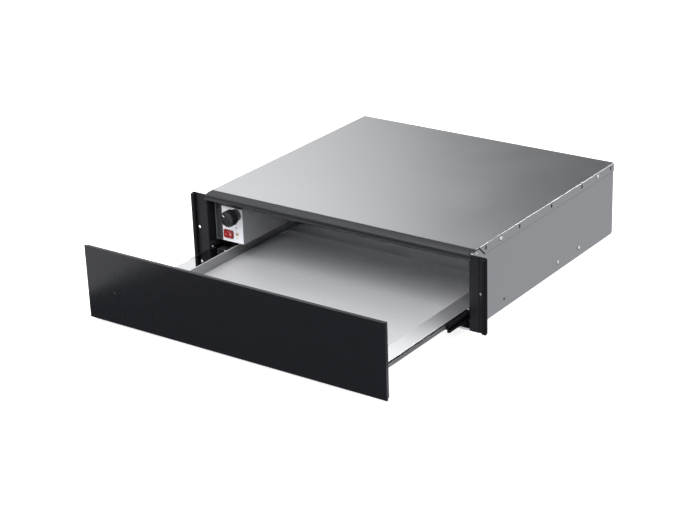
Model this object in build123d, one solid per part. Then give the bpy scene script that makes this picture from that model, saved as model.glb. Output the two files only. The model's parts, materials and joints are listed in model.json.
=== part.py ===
from build123d import *
from math import cos, radians, sin
import os

# Built-in warming drawer, pulled out as it stands in use.
# Millimetres. X runs across, Y towards the back of the niche, Z up. The origin lies on the housing's
# underside, midway across, below the front edge of the steel top.

# ------------------------------------------------------------------ driving dimensions
# Housing
case_width = 540.0
case_depth = 472.0
case_height = 136.0
sheet = 0.8
lip_height = 16.5            # how far the top cover folds down over the sides
lip_cut_top = 8.5            # the lip's slanted front end, at the top edge
lip_cut_bottom = 26.5        # and at its lower edge
lip_row_drop = 7.0           # row of slots and screws, below the top
lip_slot_width = 3.0
lip_slot_height = 6.0
lip_slot_count = 5
lip_slot_first = 29.0        # Y of the first slot
lip_slot_last = 13.0         # last slot, from the back
lip_screw_first = 76.0
lip_screw_last = 62.5        # last lip screw, from the back
pan_upstand = 12.0
pan_hem = 4.0                # height of the pan's folded front edge
bead_count = 4
bead_width = 8.0
bead_height = 1.2
bead_margin = 60.0           # from a bead's end to the pan's side
rear_chamfer = 4.0
low_screw_last = 127.0       # rear one of the lower side screws, from the back
low_screw_pitch = 75.5
side_hole_y = 87.5
side_hole_radius = 1.8
vent_count = 8
vent_pitch = 10.0
vent_width = 4.0
vent_height = 40.0
vent_foot = 40.0
vent_left_side = 213.4       # middle of the left-hand group of rear vents, from the left side panel
vent_right_side = 83.4       # and of the other group, from the right side panel

# Front trims, seals and rail
trim_reach = 30.0            # how far the trims reach past the housing's sides
trim_sheet = 1.2
trim_face = 18.0             # how far the trims' face stands before the origin
trim_top_drop = 2.8          # from the housing's top down to the trims' top
trim_foot = 0.8
trim_hem = 0.8               # thickening of the trims' inner zone
trim_leg = 24.0              # length of the return leg along the side panel, behind the origin
trim_leg_gap = 6.0           # from the fixed slide member up to the return leg
trim_hole_inset = 12.0       # screw hole, from the trim's outer edge
trim_hole_height = 69.0
trim_hole_radius = 2.5
seal_width = 8.0
seal_depth = 6.0
seal_foot = 1.2
seal_top_drop = 5.0
seal_round = 2.4
rail_height = 15.0
rail_drop = 0.3              # rail's top below the housing's top
rail_front = 21.0            # how far the rail's nose stands before the origin
rail_sheet = 1.2
rail_nose_over = 2.8         # the nose reaches this far past each side panel's inner face

# Control box, seen at the upper left of the mouth
box_width = 61.0
box_foot = 7.5               # from the fixed slide member up to the box's bottom
box_depth = 130.0
box_gap = 2.9                # between the box and the side panel
label_width = 45.2
label_drop = 10.2            # label's top below the rail's underside
label_margin = 0.4
label_thick = 0.4
label_round = 2.5
dial_from_edge = 12.0        # dial axis, from the box's right edge
dial_drop = 10.5             # dial axis, below the label's top
dial_radius = 14.5
dial_face = 30.0             # dial's face before the plate
dial_round = 1.2
dial_skirt_radius = 10.0
dial_skirt_length = 11.0
dial_gap = 2.6               # between the label and the dial's back
dial_flutes = 24
dial_flute_radius = 1.1
dial_bore_end = 8.0          # solid length in front of the dial's bore
pointer_width = 1.6
pointer_depth = 0.6
pointer_inner = 4.0          # pointer's inner end, from the axis
pointer_margin = 1.5
pointer_angle = 45.0         # pointer's lean to the left of straight up
shaft_radius = 3.0
bush_radius = 5.0
bush_front = 2.5
thermostat_radius = 10.8
thermostat_length = 31.0
tab_thick = 0.8
tab_length = 8.0
tab_width = 6.3
tab_pitch = 12.0
switch_rise = 14.4           # switch axis, above the box's bottom
switch_from_edge = 32.5      # switch axis, from the box's right edge
bezel_width = 22.0
bezel_height = 15.5
bezel_thick = 1.6
bezel_round = 3.5
switch_width = 20.0
switch_height = 13.2
switch_depth = 20.0
pocket_wall = 0.8
pocket_depth = 7.0
rocker_length = 16.0
rocker_height = 11.0
rocker_rise = 6.0            # rocker's ends before its pins
rocker_dip = 4.4             # rocker's middle before its pins
rocker_back = 2.0
rocker_round = 0.8
rocker_tilt = 10.0
rocker_pin_radius = 1.0
rocker_pin_y = 1.0
pilot_from_edge = 13.4
pilot_rise = 17.1
pilot_ring_radius = 3.6
pilot_ring_thick = 0.8
pilot_lens_radius = 2.6
pilot_lens_front = 2.0
pilot_length = 11.0
pilot_round = 1.2
plate_screw_left = 9.3       # screw on the bare strip, from the box's left edge
plate_screw_drop = 4.5       # and below the label's top
under_screw_left = 4.5       # screw under the box, from its left edge
under_screw_y = 21.7

# Drawer
front_side_gap = 4.0         # between the front's ends and the trims' outer edges
front_drop = 4.0             # front's upper edge below the housing's top
front_foot = 4.0             # height of the front's lower edge
glass_thick = 4.0
glass_chamfer = 0.5
carrier_thick = 5.5
carrier_inset = 2.0
carrier_sheet = 1.2
carrier_wall = 1.5
pad_width = 18.0             # pads that carry the brackets
pad_inset = 2.0              # from the rim's outer edge to the pad
pad_margin = 4.0
wall_pad_height = 18.0       # pad behind the tray's front wall
push_gap = 3.5               # left between front and seals when closed
opening_shown = 263.0        # how far the drawer stands open
travel_short = 7.0           # the whole travel is this much shorter than the slides
window_radius = 1.5
pipe_radius = 2.5
pipe_wall = 1.5
tray_gap = 4.0               # between the closed tray's back and the baffle
tray_sheet = 1.0
tray_floor_top = 16.4
tray_rim_top = 36.0
rim_width = 32.0
rim_over = 0.6               # rim's edge past the drawer's slide member
rim_fold = 2.2
side_foot = 16.0             # drawer side's foot under the floor
front_wall_drop = 4.4        # the tray's front wall reaches this far below the floor
bracket_sheet = 1.6
bracket_height = 64.0
bracket_foot = 44.0
bracket_web = 7.0
bracket_screw_first = 19.8   # screws in the bracket's foot, from the tray's front wall
bracket_screw_pitch = 17.6
striker_width = 24.0
striker_height = 16.0
striker_thick = 1.5

# Slides
slide_front = 10.0           # fixed member starts this far before the origin
slide_back_gap = 2.0         # between the fixed member and the baffle
slide_sheet = 1.2
slide_depth = 7.5            # fixed member's depth, from the side panel inwards
slide_foot = 13.8            # fixed member's lower edge
ball_radius = 1.75
ball_count = 9
ball_fit = 0.05
track_height = 4.6           # rod-like tracks of the middle member
track_width = 4.0
track_round = 0.9
track_gap = 1.2              # between the middle and the fixed member's web
middle_short = 70.0          # the middle member is this much shorter than the fixed one
middle_back_gap = 5.0        # middle member's end before the fixed one's, when closed
middle_height = 14.6
middle_web = 1.1
shelf_width = 5.0
shelf_gap = 0.3
cage_end_gap = 2.0           # cage's end before the middle member's end, when fully open
cage_start_gap = 7.5         # cage's start behind the fixed member's start, when fully open
cage_sheet = 1.2
cage_web = 0.5
cage_web_gap = 0.3
cage_width = 2.8
strip_height = 7.6           # drawer member's bulged face
strip_depth = 2.4
strip_round = 0.8
strip_web = 1.2
strip_flange = 5.5
strip_back_gap = 14.5        # drawer member ends this far before the tray's back
strip_gap = 1.5              # between drawer member and middle member
clip_length = 6.7
clip_drop = 11.0             # clip's lower end below the middle member's top
clip_sheet = 1.2
clip_gap = 0.6               # between clip and middle member
clip_screw_radius = 2.9
clip_screw_height = 1.6

# Rear compartment
rear_bay = 50.0              # from the baffle to the housing's back
fan_x = 92.0
fan_depth = 12.0
fan_disc = 1.5
fan_hub_radius = 9.0
fan_hub_depth = 10.0
fan_blades = 14
fan_blade_sheet = 1.6
fan_blade_inner = 20.0
fan_blade_margin = 1.0
fan_gap = 3.0                # between baffle and impeller
intake_pitch = 9.0
intake_hole = 6.0
intake_rings = 3
slot_rows = 6
slot_pitch = 12.0
slot_width = 36.0
slot_height = 4.0
slot_foot = 48.0
slot_outer = 38.4            # middle of the outer columns of slots, from the side panel
slot_left_step = 60.0        # inner columns from the outer ones, left and right
slot_right_step = 50.0
shroud_half_width = 64.0
shroud_foot = 16.5
shroud_drop = 3.7            # shroud's top below the top sheet
shroud_depth = 22.0
shroud_sheet = 1.0
shroud_hole_radius = 4.5
heater_inset = 6.0           # from the shroud's top and bottom to the heater tube's middle
heater_clear = 6.5           # from there to the impeller's rim
heater_tube = 3.25
heater_gap = 8.0             # heater ring's centre behind the baffle
heater_sweep = 310.0
heater_bend = 8.0            # bend between the ring and its legs
heater_tail = 10.0           # legs' length behind the shroud
motor_radius = 28.0
motor_length = 22.0
motor_round = 3.0
motor_bore = 14.0
motor_box_width = 14.0
motor_box_left = 42.0        # connection box's outer side, from the fan's axis
motor_box_foot = 12.0        # and its lower and upper ends above that axis
motor_box_top = 38.0
motor_box_gap = 6.0
motor_shaft_radius = 2.5
hub_bore = 8.0
latch_width = 22.0
latch_length = 42.0
latch_top = 37.0
latch_axis = 26.0
plunger_radius = 5.0
plunger_length = 24.0
plunger_round = 2.0
plunger_stroke = 3.5
plunger_gap = 0.4            # between plunger and striker when the drawer is closed
gland_from_side = 36.4       # gland's axis, from the left side panel
gland_height = 70.0
gland_radius = 10.0
gland_bore = 4.0
gland_flange_radius = 13.0
gland_flange = 3.0
gland_nut = 6.0
gland_spout = 10.0
block_from_side = 26.4       # terminal block's middle, from the left side panel
block_drop = 28.0            # its middle, below the top
block_width = 40.0
block_height = 24.0
block_depth = 22.0
block_poles = 3
block_hole_radius = 2.5
block_hole_depth = 4.0
block_hole_y = 8.0
loom_radius = 3.5
lead_radius = 3.0
lead_gap = 3.0
lead_drop = 6.0
grommet_wall = 3.0
grommet_neck = 1.5
bulb_radius = 3.0
bulb_length = 60.0
bulb_gap = 1.0
bulb_from_side = 83.4
bulb_drop = 14.5             # bulb's axis, below the housing's top
bulb_clip = 6.0
bulb_clip_step = 18.0
cutout_radius = 8.0
cutout_depth = 6.0
cutout_x = -60.0
cutout_height = 90.0
cutout_ear = 14.0
cutout_ear_half = 4.0
cutout_tab_step = 3.5
liner_drop = 8.2             # ceiling liner below the top sheet
liner_margin = 1.2
liner_side_gap = 3.0
liner_front = 4.8

# Small hardware and fits
head_radius = 3.4
head_height = 1.8
head_round = 1.08
shank_radius = 1.5
shank_length = 4.0
rivet_radius = 2.2
rivet_height = 1.2
rivet_back = 6.0             # rivet behind the trim's plate
rivet_drop = 3.0             # rivet below the trim's top
fit = 0.1                    # radial play of screws in their holes
pin_fit = 0.06               # radial play of turning pins
shaft_fit = 0.02             # radial play of what sits fast on a shaft
seat = 0.3                   # play between pieces that rest beside each other
over = 1.0                   # how far a cutting solid reaches past what it cuts

# ------------------------------------------------------------------ derived places
half_case = case_width / 2
side_out = half_case - sheet
side_in = side_out - sheet
top_under = case_height - sheet
lip_bottom = case_height - lip_height
lip_row = case_height - lip_row_drop
rear_out = case_depth - sheet
rear_in = rear_out - sheet
baffle_front = case_depth - rear_bay
baffle_back = baffle_front + sheet

trim_y = -trim_face
trim_back = trim_y + trim_sheet
trim_inner = side_in - trim_sheet
trim_outer = half_case + trim_reach
trim_top = case_height - trim_top_drop
trim_hole_x = trim_outer - trim_hole_inset
hem_edge = trim_hole_x - trim_hole_radius - seat
seal_y = trim_y - seal_depth

slide_web = side_in - slide_sheet
slide_open = side_in - slide_depth
slide_start = -slide_front
slide_end = baffle_front - slide_back_gap
ball_space = 2 * (ball_radius + ball_fit)
slide_floor = slide_foot + slide_sheet
track_bottom = slide_floor + ball_space
track_top = track_bottom + track_height
middle_top = track_bottom + middle_height
slide_ceiling = middle_top + ball_space
slide_top = slide_ceiling + slide_sheet
trim_leg_foot = slide_top + trim_leg_gap
low_row = (slide_floor + track_bottom) / 2

box_left = -side_in + box_gap
box_right = box_left + box_width
box_bottom = slide_top + box_foot
rail_top = case_height - rail_drop
rail_bottom = rail_top - rail_height
label_top = rail_bottom - label_drop
plate_screw_z = label_top - plate_screw_drop
dial_x = box_right - dial_from_edge
dial_z = label_top - dial_drop
switch_x = box_right - switch_from_edge
switch_z = box_bottom + switch_rise
pilot_x = box_right - pilot_from_edge
pilot_z = box_bottom + pilot_rise

track_out = slide_web - track_gap
track_in = track_out - track_width
web_in = track_in - middle_web
ball_x = (track_in + track_out) / 2
slide_length = slide_end - slide_start
opening_more = slide_length - travel_short - opening_shown
middle_end = slide_end - middle_back_gap - opening_shown / 2
middle_start = middle_end - slide_length + middle_short
cage_start = slide_start + cage_start_gap + opening_more / 4
cage_end = middle_end - cage_end_gap - opening_more / 4
ball_pitch = (cage_end - cage_start) / ball_count
strip_out = web_in - strip_gap
strip_bottom = track_top + middle_web + shelf_gap

front_x = trim_outer - front_side_gap
front_top = case_height - front_drop
carrier_back = seal_y - push_gap - opening_shown
glass_back = carrier_back - carrier_thick
front_y = glass_back - glass_thick
tray_front = carrier_back + tray_sheet
tray_rear = baffle_front - tray_gap - opening_shown
rim_x = strip_out + rim_over
wall_x = rim_x - rim_width
rim_under = tray_rim_top - tray_sheet
floor_under = tray_floor_top - tray_sheet
foot_under = floor_under - tray_sheet
pad_outer = rim_x - pad_inset
pad_inner = pad_outer - pad_width
pad_middle = (pad_inner + pad_outer) / 2
striker_back = tray_rear + striker_thick

plunger_tip = striker_back + opening_shown + plunger_gap
latch_front = plunger_tip + plunger_stroke + seat
shroud_top = top_under - shroud_drop
fan_height = (shroud_foot + shroud_top) / 2
heater_radius = shroud_top - heater_inset - fan_height
fan_radius = heater_radius - heater_clear
impeller_front = baffle_back + fan_gap
impeller_back = impeller_front + fan_depth
shroud_back = baffle_back + shroud_depth
gland_x = -side_in + gland_from_side
block_x = -side_in + block_from_side
block_z = case_height - block_drop
block_front = rear_in - block_depth

lip_slot_step = (case_depth - lip_slot_last - lip_slot_first) / (lip_slot_count - 1)
lip_slots = [lip_slot_first + i * lip_slot_step for i in range(lip_slot_count)]
lip_screws = [lip_screw_first, case_depth - lip_screw_last]
low_screws = [case_depth - low_screw_last - i * low_screw_pitch for i in range(2)]
bracket_screws = [tray_front + bracket_screw_first, tray_front + bracket_screw_first + bracket_screw_pitch]


# ------------------------------------------------------------------ shape helpers
def block(x0, x1, y0, y1, z0, z1):
    """A box between two corners."""
    middle = Pos((x0 + x1) / 2, (y0 + y1) / 2, (z0 + z1) / 2)
    return middle * Box(abs(x1 - x0), abs(y1 - y0), abs(z1 - z0))


def bar_x(outline, x0, x1):
    """A bar along X with an outline of (y, z) points."""
    face = make_face(Polyline(*[(x0, y, z) for y, z in outline], close=True))
    return extrude(face, x1 - x0, dir=(1, 0, 0))


def bar_y(outline, y0, y1):
    """A bar along Y with an outline of (x, z) points."""
    face = make_face(Polyline(*[(x, y0, z) for x, z in outline], close=True))
    return extrude(face, y1 - y0, dir=(0, 1, 0))


def bar_z(outline, z0, z1):
    """A bar along Z with an outline of (x, y) points."""
    face = make_face(Polyline(*[(x, y, z0) for x, y in outline], close=True))
    return extrude(face, z1 - z0, dir=(0, 0, 1))


def round_x(x0, x1, y, z, radius):
    """A round bar along X."""
    return Pos((x0 + x1) / 2, y, z) * Rot(0, 90, 0) * Cylinder(radius, abs(x1 - x0))


def round_y(x, y0, y1, z, radius):
    """A round bar along Y."""
    return Pos(x, (y0 + y1) / 2, z) * Rot(90, 0, 0) * Cylinder(radius, abs(y1 - y0))


def round_z(x, y, z0, z1, radius):
    """A round bar along Z."""
    return Pos(x, y, (z0 + z1) / 2) * Cylinder(radius, abs(z1 - z0))


def other_side(shape):
    """The same shape on the left."""
    return mirror(shape, about=Plane.YZ)


def both(shapes):
    """Shapes on the right together with their mirror images."""
    return [*shapes, *[other_side(s) for s in shapes]]


def save(name, *solids):
    """Writes one sub-part, which may be a group of separate solids."""
    shape = solids[0] if len(solids) == 1 else Compound(children=list(solids))
    export_step(shape, f"parts/{name}.step")


def save_pair(name, shape):
    """Writes a right-hand sub-part and its left-hand mirror image."""
    save(name + "_right", shape)
    save(name + "_left", other_side(shape))


def screw(length=shank_length):
    """A domed screw along Z: the head's underside at the origin, the shank below it."""
    head = Cylinder(head_radius, head_height, align=(Align.CENTER, Align.CENTER, Align.MIN))
    head = fillet(head.faces().sort_by(Axis.Z)[-1].edges(), head_round)
    return head + Cylinder(shank_radius, length, align=(Align.CENTER, Align.CENTER, Align.MAX))


def side_screw(x, y, z, length=shank_length):
    """A screw in the right-hand side, its head's underside at x."""
    return Pos(x, y, z) * Rot(0, 90, 0) * screw(length)


def side_hole(x0, x1, y, z):
    """Hole for a side screw or rivet through the sheets between x0 and x1."""
    return round_x(x0 - over, x1 + over, y, z, shank_radius + fit)


# ------------------------------------------------------------------ housing
def base_pan():
    """Floor of the housing with upstands, a folded front hem and stiffening beads."""
    hem_x = trim_inner - fit
    pan = block(-side_in, side_in, trim_back, rear_in, 0, sheet)
    pan += block(-hem_x, hem_x, trim_y, trim_back, 0, sheet)
    pan += block(-hem_x, hem_x, trim_y, trim_y + sheet, 0, pan_hem)
    for x in (-side_in, side_in - sheet):
        pan += block(x, x + sheet, trim_back, rear_in, 0, pan_upstand)
    pan += block(-side_in, side_in, rear_in - sheet, rear_in, 0, pan_upstand)
    step = baffle_front / (bead_count + 1)
    bead_x = side_in - bead_margin
    for i in range(bead_count):
        y = step * (i + 1) - bead_width / 2
        pan += block(-bead_x, bead_x, y, y + bead_width, sheet, sheet + bead_height)
    return pan


def side_panel():
    """Right-hand side sheet with its screw holes and one free hole."""
    panel = block(side_in, side_out, trim_back, rear_out, 0, top_under)
    corner = [(rear_out - rear_chamfer, 0), (rear_out, 0), (rear_out, rear_chamfer)]
    panel -= bar_x(corner, side_in, side_out)
    panel -= round_x(side_in - over, side_out + over, side_hole_y, low_row, side_hole_radius)
    panel -= side_hole(side_in, side_out, trim_back + rivet_back, trim_top - rivet_drop)
    for y in low_screws:
        panel -= side_hole(side_in, side_out, y, low_row)
    for y in lip_screws:
        panel -= side_hole(side_in, side_out, y, lip_row)
    return panel


def top_cover():
    """Top sheet with slotted lips folded down over the sides and a lip down the back."""
    cover = block(-half_case, half_case, 0, case_depth, top_under, case_height)
    cover += block(-half_case, half_case, rear_out, case_depth, lip_bottom, case_height)
    lip = block(side_out, half_case, 0, case_depth, lip_bottom, case_height)
    cover += lip + other_side(lip)
    slant = [
        (-over, case_height + over), (lip_cut_top, case_height + over), (lip_cut_top, case_height),
        (lip_cut_bottom, lip_bottom), (lip_cut_bottom, lip_bottom - over), (-over, lip_bottom - over),
    ]
    cut = bar_x(slant, side_in, half_case + over)
    z0 = lip_row - lip_slot_height / 2
    for y in lip_slots:
        y0 = y - lip_slot_width / 2
        cut += block(side_out - fit, half_case + over, y0, y0 + lip_slot_width, z0, z0 + lip_slot_height)
    for y in lip_screws:
        cut += side_hole(side_out, half_case, y, lip_row)
    return cover - cut - other_side(cut)


def rear_panel():
    """Back sheet with two groups of vents and the cable gland's hole."""
    panel = block(-side_in, side_in, rear_in, rear_out, 0, top_under)
    for group_x in (vent_left_side - side_in, side_in - vent_right_side):
        for i in range(vent_count):
            x = group_x + (i - (vent_count - 1) / 2) * vent_pitch - vent_width / 2
            vent = block(x, x + vent_width, rear_in - over, rear_out + over, 0, vent_height)
            panel -= Pos(0, 0, vent_foot) * vent
    return panel - round_y(gland_x, rear_in - over, rear_out + over, gland_height, gland_radius + fit)


def side_trim():
    """Right-hand trim: face plate with a thicker inner zone, a screw hole and a return leg."""
    trim = block(trim_inner, trim_outer, trim_y, trim_back, trim_foot, trim_top)
    trim += block(trim_inner, hem_edge, trim_y - trim_hem, trim_y, trim_foot, trim_top)
    trim += block(trim_inner, side_in, trim_back, trim_leg, trim_leg_foot, trim_top)
    trim -= side_hole(trim_inner, side_in, trim_back + rivet_back, trim_top - rivet_drop)
    return trim - round_y(trim_hole_x, trim_y - over, trim_back + over, trim_hole_height, trim_hole_radius)


def trim_seal():
    """Right-hand sealing strip along the trim's outer edge."""
    x0 = trim_outer - seal_width
    seal = block(x0, trim_outer, seal_y, trim_y, seal_foot, case_height - seal_top_drop)
    return fillet(seal.faces().sort_by(Axis.Y)[0].edges(), seal_round)


def rail_bar(inset, x0, x1, back):
    """Bar with the rail's outline, set in from its skin: flat top and bottom, half-round nose."""
    top = rail_top - inset
    bottom = rail_bottom + inset
    y = -rail_front + rail_height / 2
    nose = round_x(x0, x1, y, (top + bottom) / 2, (top - bottom) / 2)
    return block(x0, x1, y, back, bottom, top) + nose


def top_rail():
    """Rail with a round nose that joins the trims under the front edge of the top."""
    x1 = trim_inner - fit
    nose_x = side_in + rail_nose_over
    ends = rail_bar(0, -nose_x, nose_x, 0) - block(-x1, x1, -rail_front - over, over, 0, case_height)
    ends &= block(-nose_x, nose_x, -rail_front - over, trim_y - trim_hem - fit, 0, case_height)
    return rail_bar(0, -x1, x1, 0) - rail_bar(rail_sheet, -x1 - over, x1 + over, over) + ends


def rivet():
    """Right-hand rivet that ties side panel and trim."""
    y = trim_back + rivet_back
    z = trim_top - rivet_drop
    head = round_x(side_out, side_out + rivet_height, y, z, rivet_radius)
    tail = round_x(trim_inner - rivet_height, trim_inner, y, z, rivet_radius)
    return head + tail + round_x(trim_inner, side_out, y, z, shank_radius)


# ------------------------------------------------------------------ control box
def switch_cutout(y0, y1):
    """Cut-out that takes the switch body."""
    half_width = switch_width / 2 + fit
    half_height = switch_height / 2 + fit
    return Pos(switch_x, 0, switch_z) * block(-half_width, half_width, y0, y1, -half_height, half_height)


def control_box():
    """Folded box under the top sheet that holds the thermostat and the switch, open at its top."""
    box = block(box_left, box_right, 0, box_depth, box_bottom, top_under)
    x0, x1 = box_left + sheet, box_right - sheet
    box -= block(x0, x1, sheet, box_depth - sheet, box_bottom + sheet, top_under + over)
    y0, y1 = -over, sheet + over
    box -= switch_cutout(y0, y1)
    box -= round_y(dial_x, y0, y1, dial_z, bush_radius + pin_fit)
    box -= round_y(pilot_x, y0, y1, pilot_z, pilot_lens_radius + fit)
    box -= round_y(box_left + plate_screw_left, y0, y1, plate_screw_z, shank_radius + fit)
    x, z0, z1 = box_left + under_screw_left, box_bottom - over, box_bottom + sheet + over
    return box - round_z(x, under_screw_y, z0, z1, shank_radius + fit)


def control_label():
    """White plate on the box's face, with openings for dial, switch and pilot lamp."""
    x1 = box_right - label_margin
    label = block(x1 - label_width, x1, -label_thick, 0, box_bottom + label_margin, label_top)
    label = fillet(label.edges().filter_by(Axis.Y).sort_by(Axis.X)[2:], label_round)
    label -= switch_cutout(-over, over)
    label -= round_y(dial_x, -over, over, dial_z, bush_radius + fit)
    return label - round_y(pilot_x, -over, over, pilot_z, pilot_lens_radius + fit)


def box_screws():
    """One screw in the box's bare strip and one under the box."""
    face = Pos(box_left + plate_screw_left, 0, plate_screw_z) * Rot(90, 0, 0) * screw()
    under = Pos(box_left + under_screw_left, under_screw_y, box_bottom) * Rot(180, 0, 0) * screw()
    return face, under


def thermostat_body():
    """Thermostat behind the plate with its threaded bush and two terminals."""
    end = sheet + thermostat_length
    body = round_y(dial_x, sheet, end, dial_z, thermostat_radius)
    body += round_y(dial_x, -bush_front, sheet, dial_z, bush_radius)
    half = tab_width / 2
    for side in (-1, 1):
        z = dial_z + side * tab_pitch / 2 - tab_thick / 2
        body += block(dial_x - half, dial_x + half, end, end + tab_length, z, z + tab_thick)
    return body - round_y(dial_x, -bush_front - over, end / 2, dial_z, shaft_radius + pin_fit)


def thermostat_shaft():
    """Spindle of the thermostat, which turns in the bush."""
    end = (sheet + thermostat_length) / 2 - seat
    return round_y(dial_x, -dial_face + dial_bore_end, end, dial_z, shaft_radius)


def thermostat_dial():
    """Ribbed dial with a narrower skirt and a pointer groove on its face."""
    back = -label_thick - dial_gap
    step = back - dial_skirt_length
    grip = round_y(dial_x, -dial_face, step, dial_z, dial_radius)
    grip = fillet(grip.edges().sort_by(Axis.Y)[0], dial_round)
    for i in range(dial_flutes):
        angle = radians(i * 360.0 / dial_flutes)
        x = dial_x + (dial_radius + dial_flute_radius / 2) * cos(angle)
        z = dial_z + (dial_radius + dial_flute_radius / 2) * sin(angle)
        grip -= round_y(x, -dial_face + 2 * dial_round, step + over, z, dial_flute_radius)
    half = pointer_width / 2
    pointer = block(-half, half, -over, pointer_depth, pointer_inner, dial_radius - pointer_margin)
    dial = grip + round_y(dial_x, step, back, dial_z, dial_skirt_radius)
    dial -= Pos(dial_x, -dial_face, dial_z) * Rot(0, -pointer_angle, 0) * pointer
    bore_start = -dial_face + dial_bore_end - seat
    return dial - round_y(dial_x, bore_start, back + over, dial_z, shaft_radius + shaft_fit)


def switch_body():
    """Switch body with a bezel, held in the plate's cut-out; its pocket takes the rocker."""
    front = -label_thick - bezel_thick
    x0, x1 = switch_x - bezel_width / 2, switch_x + bezel_width / 2
    body = block(x0, x1, front, -label_thick, switch_z - bezel_height / 2, switch_z + bezel_height / 2)
    body = fillet(body.edges().filter_by(Axis.Y), bezel_round)
    half_width, half_height = switch_width / 2, switch_height / 2
    x0, x1 = switch_x - half_width, switch_x + half_width
    body += block(x0, x1, -label_thick, switch_depth, switch_z - half_height, switch_z + half_height)
    x0, x1 = x0 + pocket_wall, x1 - pocket_wall
    pocket_half = half_height - pocket_wall
    body -= block(x0, x1, front - over, pocket_depth, switch_z - pocket_half, switch_z + pocket_half)
    for side in (-1, 0, 1):
        x = switch_x + side * tab_pitch / 2 - tab_thick / 2
        z0, z1 = switch_z - tab_width / 2, switch_z + tab_width / 2
        body += block(x, x + tab_thick, switch_depth, switch_depth + tab_length, z0, z1)
    pin_half = half_height - pocket_wall / 2
    hole = round_z(switch_x, rocker_pin_y, -pin_half, pin_half, rocker_pin_radius + pin_fit)
    return body - Pos(0, 0, switch_z) * hole


def switch_rocker():
    """Red rocker with two slopes, tipped to one side on its pins."""
    half = rocker_length / 2
    outline = [
        (-half, rocker_back), (-half, -rocker_rise), (0, -rocker_dip),
        (half, -rocker_rise), (half, rocker_back),
    ]
    rocker = bar_z(outline, -rocker_height / 2, rocker_height / 2)
    rocker = fillet(rocker.edges().filter_by(Axis.Z).sort_by(Axis.Y)[:2], rocker_round)
    pin_half = (switch_height - pocket_wall) / 2 - pin_fit
    rocker += round_z(0, 0, -pin_half, pin_half, rocker_pin_radius)
    return Pos(switch_x, rocker_pin_y, switch_z) * Rot(0, 0, rocker_tilt) * rocker


def pilot_lamp():
    """Small pilot lamp: lens on a stem through the plate, with a collar round it."""
    front = -label_thick - pilot_lens_front
    lens = round_y(pilot_x, front, front + pilot_length, pilot_z, pilot_lens_radius)
    lens = fillet(lens.edges().sort_by(Axis.Y)[0], pilot_round)
    return lens + round_y(pilot_x, -label_thick - pilot_ring_thick, -label_thick, pilot_z, pilot_ring_radius)


# ------------------------------------------------------------------ rear compartment
def rear_baffle():
    """Sheet behind the drawer: fan intake, warm-air slots, cut-outs for latch and wires."""
    x1 = side_in - sheet - fit
    y0, y1 = baffle_front - over, baffle_back + over
    panel = block(-x1, x1, baffle_front, baffle_back, sheet, top_under)
    half = intake_hole / 2
    for i in range(-intake_rings, intake_rings + 1):
        for j in range(-intake_rings, intake_rings + 1):
            if i * i + j * j <= intake_rings * intake_rings + 1:
                x = fan_x + i * intake_pitch
                z = fan_height + j * intake_pitch
                panel -= block(x - half, x + half, y0, y1, z - half, z + half)
    left = -side_in + slot_outer
    right = side_in - slot_outer
    for x in (left, left + slot_left_step, right, right - slot_right_step):
        for i in range(slot_rows):
            z = slot_foot + i * slot_pitch
            panel -= block(x - slot_width / 2, x + slot_width / 2, y0, y1, z, z + slot_height)
    latch_x = latch_width / 2 + seat
    panel -= block(-latch_x, latch_x, y0, y1, 0, latch_top + seat)
    return panel - round_y(block_x, y0, y1, block_z, loom_radius + grommet_neck + fit)


def ceiling_liner():
    """Inner ceiling that keeps the warm air off the top sheet, folded up at its edges."""
    x0 = box_right + liner_margin
    x1 = side_in - liner_side_gap
    y1 = baffle_front - liner_margin
    z0 = top_under - liner_drop
    pan = block(x0, x1, liner_front, y1, z0, top_under)
    return pan - block(x0 + sheet, x1 - sheet, liner_front + sheet, y1 - sheet, z0 + sheet, top_under + over)


def heater_leg(turn):
    """Ring end, its direction and the leg's start for the left (-1) or right (1) leg."""
    angle = radians(270.0 + turn * (360.0 - heater_sweep) / 2)
    y = baffle_back + heater_gap
    end = Vector(fan_x + heater_radius * cos(angle), y, fan_height + heater_radius * sin(angle))
    along = Vector(sin(angle), 0, -cos(angle)) * turn
    return end, along, end + along * heater_bend + Vector(0, heater_bend, 0)


def heater_ring():
    """Tubular element: one open ring round the impeller, bent back into two legs."""
    tail = shroud_back + heater_tail
    left_end, left_along, left_leg = heater_leg(-1)
    right_end, right_along, right_leg = heater_leg(1)
    top = Vector(fan_x, left_end.Y, fan_height + heater_radius)
    path = Wire([
        Line(Vector(left_leg.X, tail, left_leg.Z), left_leg),
        TangentArc(left_end, left_leg, tangent=left_along),
        ThreePointArc(left_end, top, right_end),
        TangentArc(right_end, right_leg, tangent=right_along),
        Line(right_leg, Vector(right_leg.X, tail, right_leg.Z)),
    ])
    section = Plane(origin=(left_leg.X, tail, left_leg.Z), z_dir=(0, -1, 0)) * Circle(heater_tube)
    return sweep(section, path=path)


def fan_shroud():
    """Shallow box behind the baffle round the impeller and the heater, which carries the motor."""
    x0, x1 = fan_x - shroud_half_width, fan_x + shroud_half_width
    shell = block(x0, x1, baffle_back, shroud_back, shroud_foot, shroud_top)
    x0, x1 = x0 + shroud_sheet, x1 - shroud_sheet
    z0, z1 = shroud_foot + shroud_sheet, shroud_top - shroud_sheet
    shell -= block(x0, x1, baffle_back - over, shroud_back - shroud_sheet, z0, z1)
    y0 = shroud_back - shroud_sheet - over
    shell -= round_y(fan_x, y0, shroud_back + over, fan_height, shroud_hole_radius)
    for turn in (-1, 1):
        leg = heater_leg(turn)[2]
        shell -= round_y(leg.X, y0, shroud_back + over, leg.Z, heater_tube + fit)
    return shell


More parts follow.
